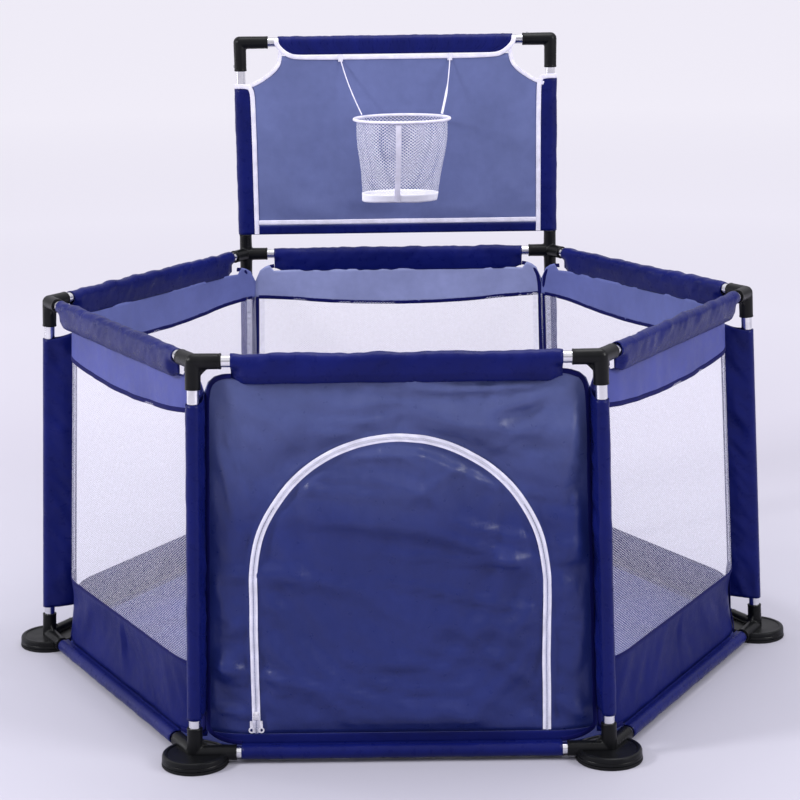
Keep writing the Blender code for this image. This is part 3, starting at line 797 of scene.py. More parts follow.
def build_button(name, root, outward):
    """A pin with a domed head that stands out of the elbow."""
    low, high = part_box(f"snap_button_{name}")
    radius = (high.y - low.y) / 2
    reach = [(corner_point - root).dot(outward) for corner_point in (low, high)]
    foot, tip = min(reach), max(reach)
    rises = [math.radians(a) for a in range(0, 91, 15)]
    dome = [(radius * math.cos(a), tip - radius * 0.55 * (1 - math.sin(a))) for a in rises]
    profile = [(0, foot), (radius * 0.9, foot), (radius, foot + 0.0004)] + dome[:-1] + [(0, tip)]
    mesh = lathe_mesh(f"button_{name}", profile, 32, closed=False, matrix=along(root, outward), sharp=60)
    link(f"button_{name}", mesh, BUTTON_STEEL, f"snap_button_{name}", [f"snap_button_{name}"])


def tube_between(name, start, end, body, node):
    """Plated tube with rolled ends."""
    length = (end - start).length
    inner, round_off = TUBE_R - TUBE_WALL, 0.0003
    profile = [(TUBE_R, round_off), (TUBE_R, length - round_off), (TUBE_R - round_off, length), (inner, length)]
    profile += [(inner, 0), (TUBE_R - round_off, 0)]
    mesh = lathe_mesh(name, profile, 40, matrix=along(start, end - start))
    return link(name, mesh, STEEL, body, [node])


def build_tubes():
    top_in, foot_in = BORE_FLOOR + TUBE_INSET, FOOT_BORE_FLOOR + TUBE_INSET
    for index, place in enumerate(CORNERS):
        high, low = corner(index, TOP_Z), corner(index, BOTTOM_Z)
        step = (low - high).normalized() * top_in
        tube_between(f"tube_post_{place}", high + step, low - step, "yard", f"post_{place}")
    for index, place in enumerate(WALLS):
        short = place.replace("_side", "")
        for level, inset, kind in ((TOP_Z, top_in, "top_rail"), (BOTTOM_Z, foot_in, "bottom_rail")):
            first, second = corner(index, level), corner(index + 1, level)
            step = (second - first).normalized() * inset
            tube_between(f"tube_{kind}_{short}", first + step, second - step, "yard", f"{kind}_{short}")
    for side, name in ((-1, "left"), (1, "right")):
        foot = Vector((side * POST_X, TOP_APOTHEM, TOP_Z + top_in))
        head = Vector((foot.x, foot.y, HOOP_Z - top_in))
        tube_between(f"tube_upright_{name}", foot, head, "hoop_frame", f"upright_{name}")
    reach = Vector((POST_X - top_in, 0, 0))
    centre = Vector((0, TOP_APOTHEM, HOOP_Z))
    tube_between("tube_hoop_rail", centre - reach, centre + reach, "hoop_frame", "hoop_rail")


# ---------------------------------------------------------------- sleeves


def sleeve(name, place, profile, runs, material, wrinkle, seed, **facts):
    """Cloth sewn into a loop round a tube. place(run, out, rise) puts a point of the profile on the tube."""
    points, uvs = [], []
    girth = girth_of(profile)
    last = len(profile) - 1
    for run in runs:
        row, cloth_row = [], []
        for number, (out, rise) in enumerate(profile):
            fade = math.sin(math.pi * number / last) ** 0.5
            push = ripple(run, girth[number], 26, 34, seed)
            push += 0.6 * ripple(run + girth[number] * 0.8, girth[number], 70, 30, seed + 1)
            scale = 1 + fade * wrinkle * push / max(math.hypot(out, rise), SLEEVE_R)
            row.append(place(run, out * scale, rise * scale))
            cloth_row.append((run, girth[number]))
        points.append(row)
        uvs.append(cloth_row)
    cloth(name, points, uvs, material, "navy_cloth", **facts)


def top_profile():
    """(inset, rise) from the seam under the rail, up inside, over the rail and down outside."""
    r = SLEEVE_R
    over = arc(r, 0, 181, 20)
    inner = [(0.0062, -SLEEVE_DROP), (0.0090, -0.026), (r, -0.010)]
    outer = [(-r * 1.02, -0.010), (-r * 0.93, -0.022), (-0.0066, -0.031)]
    outer += [(-0.0034, -SLEEVE_DROP), (0.0030, -SLEEVE_DROP - 0.0006)]
    return resampled(inner + over + outer, 44)


def bottom_profile():
    """A loop round the bottom rail, from the web outside and down, and up again to the web."""
    loop = arc(SLEEVE_R, 60, 401, 20)
    return resampled([(WEB_INSET + 0.0005, 0.0115)] + loop + [(WEB_INSET + 0.001, 0.0105)], 34)


def spaced(low, high, step):
    """Even values from low to high, about step apart."""
    count = max(2, round((high - low) / step) + 1)
    return [low + (high - low) * number / (count - 1) for number in range(count)]


def closed_place(index, half, run, inset, rise):
    """A point of the top sleeve. Near its ends the two layers close below the tube, and their edge is drawn up."""
    near_end = smooth_step(abs(run), half - 0.022, half)
    under = smooth_step(-rise, 0.004, 0.016)
    middle_inset = 0.0024
    inset += (middle_inset - inset) * 0.92 * near_end * under
    rise += 0.007 * near_end * smooth_step(-rise, 0.012, SLEEVE_DROP)
    return wall_point(index, run, inset, TOP_Z + rise, TOP_Z)


def build_rail_sleeves(index, place):
    top_end, low_end = side_at(TOP_Z) / 2 - TOP_SLEEVE_END, side_at(BOTTOM_Z) / 2 - BOTTOM_SLEEVE_END
    short = place.replace("_side", "")
    sleeve(
        f"top_sleeve_{place}", lambda run, inset, rise: closed_place(index, top_end, run, inset, rise), top_profile(),
        spaced(-top_end, top_end, 0.005), NAVY_DEEP, 0.0026, 11 + index, rests_on=[f"top_rail_{short}"],
    )
    sleeve(
        f"bottom_sleeve_{place}", lambda run, inset, rise: wall_point(index, run, inset, BOTTOM_Z + rise, BOTTOM_Z),
        bottom_profile(), spaced(-low_end, low_end, 0.006), NAVY_DEEP, 0.0007, 31 + index,
        rests_on=[f"bottom_rail_{short}"],
    )


def build_post_sleeve(index, place):
    """A flat strip: round the post, then both layers run in to the seam."""
    seam = SEAM_INSETS[place]
    to_post, from_post = [(seam, 0.0007), (seam * 0.55, 0.0075)], [(seam * 0.55, -0.0075), (seam, -0.0007)]
    profile = resampled(to_post + arc(POST_SLEEVE_R, 100, 261, 16) + from_post, 40)
    radial = spoke(index)
    beside = Vector((-radial.y, radial.x, 0))
    girth = girth_of(profile)
    points, uvs = [], []
    for share in spaced(0, 1, 0.012):
        row, cloth_row = [], []
        for number, (inward, aside) in enumerate(profile):
            part = max(0.0, inward / seam)
            top = TOP_Z - POST_SLEEVE_TOP + (POST_SLEEVE_TOP - SEAM_DROP) * part * part
            low = BOTTOM_Z + POST_SLEEVE_LOW + 0.003 * part
            z = low + (top - low) * share
            # Creases run slantwise over the loose flanks, and less where the cloth is tight on the post.
            flank = math.sin(math.pi * min(max(part, 0.0), 1.0)) + 0.25
            slant = z + 0.9 * inward * (1 if aside > 0 else -1)
            fold = ripple(slant, inward, 24, 18, 51 + index) + 0.6 * ripple(slant, inward, 64, 30, 57 + index)
            side = math.copysign(1, aside)
            aside += side * 0.0038 * flank * fold * (abs(aside) > 0.001)
            row.append(corner(index, z) - radial * inward + beside * aside)
            cloth_row.append((girth[number], z))
        points.append(row)
        uvs.append(cloth_row)
    cloth(f"post_sleeve_{place}", points, uvs, NAVY_DEEP, "navy_cloth", rests_on=[f"post_{place}"])


# ---------------------------------------------------------------- walls


def net_low_at(index):
    return REAR_NET_LOW_Z if "rear" in WALLS[index] else NET_LOW_Z


def wall_relief(index, kind):
    """How far a wall's cloth stands out of its plane at (u, z)."""
    net_low = net_low_at(index)

    def band(u, z):
        return 0.0022 * ripple(u + 0.5 * z, z, 16, 9, 61 + index) + 0.0013 * ripple(u, z, 48, 14, 67 + index)

    def net(u, z):
        return 0.0010 * ripple(u, z, 6, 5, 71 + index)

    def skirt(u, z):
        # The skirt hangs slack between the net and the bottom rail: slanting folds that die out at its edges.
        share = min(max((z - BOTTOM_Z) / (net_low - BOTTOM_Z), 0.0), 1.0)
        slack = math.sin(math.pi * share)
        slant = u + 0.55 * (z - BOTTOM_Z) * math.copysign(1, u)
        folds = 0.0080 * ripple(slant, z, 12, 6, 81 + index) + 0.0036 * ripple(slant, z, 36, 10, 87 + index)
        return slack * folds - 0.005 * slack

    return {"band": band, "net": net, "skirt": skirt}[kind]


def web_place(index, u, z, relief=None, lift=0.0):
    out = lift + (relief(u, z) if relief else 0.0)
    return wall_point(index, u, web_inset(index, u, z) - out, z)


def web_grid(index, low, high, relief, rows, step=0.010):
    """Rows of points over a wall between two edges, low(index, u) and high(index, u)."""
    shares = spaced(-1, 1, step * 2 / side_at(TOP_Z))
    points, uvs = [], []
    for number in range(rows + 1):
        row, cloth_row = [], []
        for share in shares:
            u_top = share * half_width(index, share, TOP_Z)
            bottom, top = low(index, u_top), high(index, u_top)
            z = bottom + (top - bottom) * number / rows
            u = share * half_width(index, share, z)
            row.append(web_place(index, u, z, relief))
            cloth_row.append((u, z))
        points.append(row)
        uvs.append(cloth_row)
    return points, uvs


def wall_normal(index, u, z):
    step = 0.002
    across = web_place(index, u + step, z) - web_place(index, u - step, z)
    up = web_place(index, u, z + step) - web_place(index, u, z - step)
    return across.cross(up).normalized()


def wall_ribbon(name, index, path, width, thickness, material, relief=None, lift=0.0):
    places = [web_place(index, u, z, relief, lift) for u, z in path]
    normals = [wall_normal(index, u, z) for u, z in path]
    return ribbon(name, places, normals, width, thickness, material)


def edge_path(index, side):
    """Up one side of a wall's web: out of the bottom sleeve, along the seam, and over the notch to the top sleeve."""
    low_end, top_end = side_at(BOTTOM_Z) / 2 - BOTTOM_SLEEVE_END, side_at(TOP_Z) / 2 - TOP_SLEEVE_END
    half_low, half_top = half_width(index, side, BOTTOM_Z), half_width(index, side, TOP_Z)
    margin = BINDING_WIDTH / 2
    low = [(low_end + (half_low - low_end) * math.sin(math.radians(a))) for a in range(0, 91, 10)]
    path = []
    for u in low:
        share = (u - low_end) / (half_low - low_end)
        path.append((side * (u - margin * share), web_low(index, side * u) + margin * 0.6))
    for z in spaced(0.07, TOP_Z - SEAM_DROP - 0.012, 0.03):
        path.append((side * (half_width(index, side, z) - margin), z))
    top = [(top_end + (half_top - top_end) * math.cos(math.radians(a))) for a in range(0, 91, 10)]
    for u in top:
        share = (u - top_end) / (half_top - top_end)
        path.append((side * (u - margin * share), web_top(index, side * u) - margin))
    return rounded(path, 90, 2)


def build_edge_bindings(index, place, relief=None):
    return [
        wall_ribbon(
            f"edge_binding_{place}_{name}", index, edge_path(index, side), BINDING_WIDTH, BINDING_THICKNESS,
            NAVY_BINDING, relief, 0.0006,
        )
        for side, name in ((-1, "a"), (1, "b"))
    ]


def build_net_wall(index, place):
    """A wall with a net window: band, net and skirt, bound along every edge."""
    band, net, skirt = (wall_relief(index, kind) for kind in ("band", "net", "skirt"))
    edges = build_edge_bindings(index, place)
    net_low = net_low_at(index)
    across = spaced(-half_width(index, -1, TOP_Z) + 0.004, half_width(index, 1, TOP_Z) - 0.004, 0.012)
    low_binding = wall_ribbon(
        f"band_binding_{place}", index, [(u, band_low(index, u)) for u in across], BINDING_WIDTH, BINDING_THICKNESS,
        NAVY_BINDING, band, 0.0004,
    )
    wide = side_at(net_low) / side_at(TOP_Z)
    skirt_binding = wall_ribbon(
        f"skirt_binding_{place}", index, [(u * wide, net_low) for u in across], 0.0055, 0.0018,
        NAVY_BINDING, net, 0.0003,
    )
    nodes = [f"wall_{place}"]
    points, uvs = web_grid(index, band_low, web_top, band, 12)
    # The band's brightness is painted light and shade: the near walls' bands are painted darker and the far ones
    # lighter.
    band_cloth_by_light = BAND_PAINTED_LIGHT if place == "rear" else BAND_PAINTED_HALF_LIGHT if "rear" in place else BAND_PAINTED_SHADE
    cloth(f"band_{place}", points, uvs, band_cloth_by_light, "blue_grey_cloth", trims=[low_binding], stands_for=nodes)
    points, uvs = web_grid(index, lambda index, u: net_low, band_low, net, 10, 0.020)
    cloth(f"net_{place}", points, uvs, WALL_NET, "white_net", trims=edges, stands_for=nodes, net=True)
    for side, name in ((-1, "a"), (1, "b")):
        points, uvs = [], []
        for z in spaced(net_low, TOP_Z - BAND_DROP + BAND_RISE, 0.04):
            outer = half_width(index, side, z) - BINDING_WIDTH
            row = [(side * (outer - 0.010 * part), z) for part in (0, 0.5, 1)]
            points.append([web_place(index, u, height, net, -0.0008) for u, height in row])
            uvs.append(row)
        cloth(f"net_selvedge_{place}_{name}", points, uvs, NET_EDGE, "white_net", net=True)
    points, uvs = web_grid(index, web_low, lambda index, u: net_low, skirt, 16, 0.007)
    cloth(f"skirt_{place}", points, uvs, NAVY, "navy_cloth", trims=[skirt_binding], stands_for=nodes)


# ---------------------------------------------------------------- front wall, door and zip


SPRING_Z = DOOR_CROWN_Z - DOOR_HALF_WIDTH


def arch(offset, step=0.008, low=ZIP_LOW_Z):
    """The zip's line, moved out by offset: up the left side, over the crown and down the right side."""
    radius = DOOR_HALF_WIDTH + offset
    rise = spaced(low, SPRING_Z, step)
    turns = spaced(0, math.pi, step / DOOR_HALF_WIDTH)
    left = [(-radius, z) for z in rise]
    over = [(-radius * math.cos(a), SPRING_Z + radius * math.sin(a)) for a in turns[1:-1]]
    return left + over + [(radius, z) for z in rise[::-1]]


def to_zip(u, z):
    """How far (u, z) is from the zip's line: positive outside the door."""
    if z < SPRING_Z:
        return abs(u) - DOOR_HALF_WIDTH
    return math.hypot(u, z - SPRING_Z) - DOOR_HALF_WIDTH


def smooth_step(value, low, high):
    share = min(max((value - low) / (high - low), 0.0), 1.0)
    return share * share * (3 - 2 * share)


FRONT_LOW = BOTTOM_Z + 0.01
FRONT_HIGH = TOP_Z - 0.03


def front_holds(u, z):
    """The front panel is sewn in along its edges, and the zip holds it half as firmly."""
    edge = min(half_width(FRONT, u, TOP_Z) - abs(u), z, FRONT_HIGH - FRONT_LOW - z)
    if edge < 0.006:
        return 1.0
    return 0.8 if abs(to_zip(u, z + FRONT_LOW)) < 0.006 else 0.0


SLACK_FRONT = slack_cloth(
    2 * half_width(FRONT, 1, TOP_Z), FRONT_HIGH - FRONT_LOW, front_holds,
    slack=0.035, depth_wanted=0.011, spacing=0.0075, frames=28, seed=3,
)


def crease(u, v, scale_u, scale_v, seed, width=0.22):
    """0 to 1: ridges that wander over the cloth, stronger in some places than in others."""
    ridge = max(0.0, 1 - abs(ripple(u, v, scale_u, scale_v, seed)) / width) ** 1.3
    return ridge * smooth_step(ripple(u, v, 3.1, 3.7, seed + 40), -0.35, 0.30)


def corner_pulls(u, z, side, seed):
    """Creases that run out of a top corner of the front panel."""
    across, down = half_width(FRONT, side, TOP_Z) - side * u, FRONT_HIGH - z
    reach = math.hypot(across, down)
    turn = math.atan2(down, across)
    return crease(turn, reach, 4.2, 1.6, seed) * smooth_step(reach, 0.02, 0.10) * smooth_step(0.42 - reach, 0.0, 0.22)


def front_relief(u, z):
    """Hung slack, with small puckers where the zip was sewn in, and no bulge in the slider's way."""
    gap = to_zip(u, z)
    away = smooth_step(abs(gap), TAPE_WIDTH * 0.6, 0.026)
    sewn = math.exp(-max(abs(gap) - TAPE_WIDTH, 0.0) / 0.034) * smooth_step(abs(gap), 0.005, 0.016)
    turned = math.acos(max(-1.0, min(1.0, u / max(math.hypot(u, z - SPRING_Z), 0.001)))) if z > SPRING_Z else 0.0
    run = z if z < SPRING_Z else SPRING_Z + DOOR_HALF_WIDTH * min(turned, math.pi - turned)
    puckers = 0.5 + 0.5 * ripple(run + 0.3 * gap, math.copysign(1, u) + gap * 4, 34, 1, 5)
    pleats = smooth_step(z, TOP_Z - 0.24, TOP_Z - 0.07) * (0.3 + 0.7 * smooth_step(u, 0.0, 0.2))
    slack = min(max(SLACK_FRONT(u, z - FRONT_LOW), -0.017), 0.009)
    slant = z + 0.15 * u + 0.02 * ripple(u, z, 3, 3, 6)
    beside = math.exp(-abs(gap) / 0.07)
    creases = 0.0130 * crease(u, slant, 2.2, 8, 7) + 0.0075 * crease(u, slant, 4, 19, 8)
    creases += 0.0085 * beside * crease(u, slant, 7, 30, 10, 0.3)
    creases += 0.0105 * corner_pulls(u, z, 1, 12) + 0.0060 * corner_pulls(u, z, -1, 13)
    creases += 0.0080 * smooth_step(SPRING_Z - z, 0.0, 0.15) * crease(u + 1.4 * z, z, 7, 3, 14)
    edge = smooth_step(half_width(FRONT, u, z) - abs(u), 0.0, 0.03) * smooth_step(z, DOOR_HINGE_Z, DOOR_HINGE_Z + 0.03)
    return ((slack + creases) * away - 0.0110 * sewn * puckers + 0.0085 * pleats * ripple(u, z, 40, 5, 9)) * edge


def front_place(u, z, lift=0.0):
    """A point of the front panel. The zip's line wanders a little, and the cloth beside it goes with it."""
    near = math.exp(-((to_zip(u, z) / 0.03) ** 2)) * smooth_step(z, DOOR_HINGE_Z + 0.06, DOOR_HINGE_Z + 0.14)
    side = smooth_step(abs(u), 0.05, 0.12) * math.copysign(1, u)
    return web_place(FRONT, u + ZIP_WANDER * near * side * ripple(z, u, 14, 3, 4), z, front_relief, lift)


def front_boundary(u, z):
    """Follows the line from the arch's centre through (u, z) out to the panel's edge."""
    if z <= SPRING_Z:
        return math.copysign(half_width(FRONT, u, z), u), z
    start, direction = Vector((0, SPRING_Z)), Vector((u, z - SPRING_Z)).normalized()
    low, high = 0.0, 1.0
    for _ in range(30):
        mid = (low + high) / 2
        at = start + direction * mid
        inside = abs(at.x) < half_width(FRONT, at.x, at.y) and at.y < web_top(FRONT, at.x)
        low, high = (mid, high) if inside else (low, mid)
    at = start + direction * low
    return at.x, at.y


def build_front_wall():
    edges = build_edge_bindings(FRONT, "front", front_relief)
    inner = arch(0.0030)
    outer = [front_boundary(u, z) for u, z in inner]
    points, uvs, rows = [], [], 20
    for number in range(rows + 1):
        share = number / rows
        line = [(a[0] + (b[0] - a[0]) * share, a[1] + (b[1] - a[1]) * share) for a, b in zip(inner, outer)]
        points.append([front_place(u, z) for u, z in line])
        uvs.append(line)
    cloth("front_panel", points, uvs, PANEL, "navy_cloth", trims=edges, stands_for=["wall_front"], curved_grid=True)
    points, uvs = [], []
    for number in range(6):
        row = []
        for share in spaced(-1, 1, 0.02):
            u = share * half_width(FRONT, share, BOTTOM_Z)
            low = web_low(FRONT, u)
            row.append((u, low + (ZIP_LOW_Z - 0.0008 - low) * number / 5 if low < ZIP_LOW_Z else low))
        points.append([web_place(FRONT, u, z) for u, z in row])
        uvs.append(row)
    cloth("front_sill", points, uvs, NAVY, "navy_cloth", stands_for=["wall_front"])


def build_door():
    """The door's cloth, inside the zip."""
    width = DOOR_HALF_WIDTH - 0.0030
    levels = [(z, width) for z in spaced(ZIP_LOW_Z + 0.0004, SPRING_Z, 0.008)]
    for a in spaced(0, math.radians(89), 0.035)[1:]:
        levels.append((SPRING_Z + width * math.sin(a), width * math.cos(a)))
    points, uvs = [], []
    for z, half in levels:
        row = [(share * half, z) for share in spaced(-1, 1, 0.03)]
        points.append([front_place(u, height) for u, height in row])
        uvs.append(row)
    cloth("door_cloth", points, uvs, PANEL, "navy_cloth", body="door", stands_for=["door_panel"], curved_grid=True)


def zip_normal():
    return wall_normal(FRONT, 0.0, SPRING_Z)


def build_zip():
    """Two tapes with a row of teeth each: the outer ones stay on the wall and the inner ones go with the door."""
    face = zip_normal()
    for side, body, name in ((1, "yard", "wall"), (-1, "door", "door")):
        path = arch(side * (0.0007 + TAPE_WIDTH / 2), 0.006, TAPE_LOW_Z)
        places = [front_place(u, z, 0.0007) for u, z in path]
        ribbon(f"zip_tape_{name}", places, [face] * len(path), TAPE_WIDTH, TAPE_THICKNESS, ZIP_TAPE, body)
        line = [front_place(u, z, 0.0013) for u, z in resampled(arch(side * 0.00115, 0.003, TAPE_LOW_Z), 2000)]
        build_teeth(f"zip_teeth_{name}", line, face, body)


def build_teeth(name, line, face, body):
    """A coil seen as a cord whose thickness swells at each tooth."""
    run, rows, uvs = 0.0, [], []
    last = line[0]
    for number, place in enumerate(line):
        run += (place - last).length
        last = place
        ahead = (line[min(number + 1, len(line) - 1)] - line[max(number - 1, 0)]).normalized()
        beside = ahead.cross(face).normalized()
        swell = 0.72 + 0.28 * math.cos(math.tau * run / TOOTH_PITCH)
        turns = [math.radians(60 * step) for step in range(7)]
        rows.append([place + (beside * math.cos(a) + face * math.sin(a)) * TOOTH_R * swell for a in turns])
        uvs.append([(run, a * TOOTH_R) for a in turns])
    link(name, grid_mesh(name, rows, uvs), ZIP_TEETH, body)


def skin(bm, rings):
    """Faces between rings of vertices, and a cap on each end."""
    for first, second in zip(rings, rings[1:]):
        for number in range(len(first)):
            after = (number + 1) % len(first)
            bm.faces.new((first[number], first[after], second[after], second[number]))
    bm.faces.new(rings[0][::-1])
    bm.faces.new(rings[-1])


def build_slider():
    """A slider body with rounded shoulders, a waist and a bridge for the pulls."""
    low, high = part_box("zip_slider")
    middle_point, face = (low + high) / 2, zip_normal()
    up = (web_place(FRONT, -DOOR_HALF_WIDTH, SPRING_Z) - web_place(FRONT, -DOOR_HALF_WIDTH, ZIP_LOW_Z)).normalized()
    beside = up.cross(face).normalized()
    outline = [(0.0020, -0.0070), (0.0046, -0.0062), (0.0050, -0.0020)]
    outline += [(0.0042, 0.0030), (0.0050, 0.0055), (0.0030, 0.0070)]
    outline = outline + [(-x, y) for x, y in outline[::-1]]
    bm = bmesh.new()
    layers = []
    for depth, scale in ((-0.0020, 0.9), (-0.0014, 1.0), (0.0004, 1.0), (0.0012, 0.8)):
        places = [middle_point + beside * x * scale + up * y * scale + face * depth for x, y in outline]
        layers.append([bm.verts.new(place) for place in places])
    skin(bm, layers)
    bridge, bar_section = [], [(-0.0012, -0.0003), (0.0012, -0.0003), (0.0012, 0.0004), (-0.0012, 0.0004)]
    for step in range(7):
        angle = math.radians(180 * step / 6)
        centre = middle_point + up * 0.0042 * math.cos(angle) + face * (0.0010 + 0.0013 * math.sin(angle))
        bridge.append([bm.verts.new(centre + beside * x + face * d) for x, d in bar_section])
    skin(bm, bridge)
    bmesh.ops.recalc_face_normals(bm, faces=bm.faces)
    mesh = mesh_of(bm, "slider_body")
    obj = link("slider_body", mesh, ZIP_METAL, "zip_slider", ["zip_slider"])
    bevel = obj.modifiers.new("edges", "BEVEL")
    bevel.width = 0.0003
    bevel.segments = 2
    mesh.shade_smooth()
    mesh.set_sharp_from_angle(angle=math.radians(40))


# ---------------------------------------------------------------- floor cloth


def build_floor_cloth():
    """The yard's own floor, sewn up into the walls along its edge."""
    edge = apothem_at(BOTTOM_Z) - FLOOR_INSET
    side = edge * 2 / math.sqrt(3)
    outline = []
    for index in range(6):
        before, at, after = (spoke(index + step) * side for step in (-1, 0, 1))
        outline += [at + (other - at).normalized() * FLOOR_CORNER_CUT for other in (before, after)]
    outline = [Vector(point) for point in resampled(outline + outline[:1], 181)]
    points, uvs = [], []
    for share in spaced(0, 1, 0.03) + [1.008, 1.016, 1 + FLOOR_LIP]:
        row = []
        for point in outline:
            at = point * share
            inner = min(share, 1.0)
            rise = 0.0009 * ripple(at.x, at.y, 7, 7, 91) + 0.0005 * ripple(at.x, at.y, 22, 22, 93)
            turned_up = max(0.0, share - 1.0) / FLOOR_LIP * FLOOR_TURN_UP
            row.append(Vector((at.x, at.y, FLOOR_LAY + rise * (1 - inner**6) + turned_up)))
        points.append(row)
        uvs.append([(point.x, point.y) for point in row])
    obj = link("floor_sheet", grid_mesh("floor_sheet", points, uvs), FLOOR_NAVY, "yard", ["floor_cloth"])
    obj.modifiers.new("joined", "WELD").merge_threshold = 0.0002
    thicken(obj, FLOOR_CLOTH)


# ---------------------------------------------------------------- backboard


# How far each point of a corner's notch lies in from the post and down from the hoop rail.
CORNER_NOTCH = [
    (0.083, 0.012), (0.081, 0.030), (0.078, 0.044), (0.067, 0.058), (0.049, 0.071), (0.032, 0.081), (0.014, 0.088),
]


def board_top(x):
    """The panel's top edge: under the top sleeve, then round the notch to the side sleeve."""
    gone = POST_X - abs(x)
    if gone >= CORNER_NOTCH[0][0]:
        return HOOP_Z - BOARD_SLEEVE_DROP - 0.002
    reach = [point[0] for point in CORNER_NOTCH[::-1]]
    drop = [point[1] for point in CORNER_NOTCH[::-1]]
    return HOOP_Z - float(np.interp(gone, reach, drop))


def board_holds(x, z):
    edge = min(POST_X - BOARD_SIDE_IN - abs(x), z, HOOP_Z - BOARD_LOW_Z - z)
    return 1.0 if edge < 0.02 else 0.0


SLACK_BOARD = slack_cloth(
    2 * (POST_X - BOARD_SIDE_IN), HOOP_Z - BOARD_LOW_Z, board_holds,
    slack=0.012, depth_wanted=0.004, spacing=0.010, frames=20, seed=21,
)


def board_place(x, z, lift=0.0):
    slack = min(max(SLACK_BOARD(x, z - BOARD_LOW_Z), -0.006), 0.003) + 0.0011 * crease(x, z + 0.3 * x, 5, 9, 23)
    return Vector((x, BOARD_Y + 0.0016 - slack - lift, z))


FRONT_FACE = Vector((0, -1, 0))


def board_tape(name, places, width=TRIM_WIDTH, thickness=TRIM_THICKNESS):
    """White tape that faces forwards."""
    return ribbon(name, places, [FRONT_FACE] * len(places), width, thickness, WHITE, "hoop_frame")


def board_ribbon(name, path, width=TRIM_WIDTH, lift=0.001):
    return board_tape(name, [board_place(x, z, lift) for x, z in path], width)


def build_backboard():
    """The blue panel with its notches, its lower hem and the tape along both."""
    inner = POST_X - BOARD_SIDE_IN
    seam = inner - TRIM_WIDTH / 2
    trims = [board_ribbon("board_low_trim", [(x, BOARD_TRIM_Z) for x in spaced(-seam, seam, 0.012)], lift=0.0012)]
    for side, name in ((-1, "left"), (1, "right")):
        path = rounded([(side * (POST_X - gone), HOOP_Z - drop) for gone, drop in CORNER_NOTCH], 40, 2)
        trims.append(board_ribbon(f"board_notch_trim_{name}", path, TRIM_WIDTH * 0.85))
    notch_columns = [side * (POST_X - gone) for side in (-1, 1) for gone, _ in CORNER_NOTCH[:-1]]
    columns = sorted({*spaced(-inner, inner, 0.009), *notch_columns})
    points, uvs, rows = [], [], 34
    for number in range(rows + 1):
        row = [(x, BOARD_LOW_Z + 0.004 + (board_top(x) - BOARD_LOW_Z - 0.004) * number / rows) for x in columns]
        points.append([board_place(x, z) for x, z in row])
        uvs.append(row)
    cloth(
        "board_panel", points, uvs, BLUE, "blue_grey_cloth", body="hoop_frame", held="hung", rests_on=["hoop_rail"],
        trims=trims, stands_for=["backboard_cover"], curved_grid=True,
    )
    points, uvs = [], []
    for z in spaced(BOARD_LOW_Z, BOARD_HEM_Z, 0.0045):
        row = [(x, z) for x in spaced(-inner, inner, 0.008)]
        points.append([board_place(x, height, 0.0010 + 0.0005 * ripple(x, height, 60, 60, 33)) for x, height in row])
        uvs.append(row)
    cloth("board_hem", points, uvs, NAVY_DEEP, "navy_cloth", body="hoop_frame", stands_for=["backboard_cover"])
    build_board_sleeves()


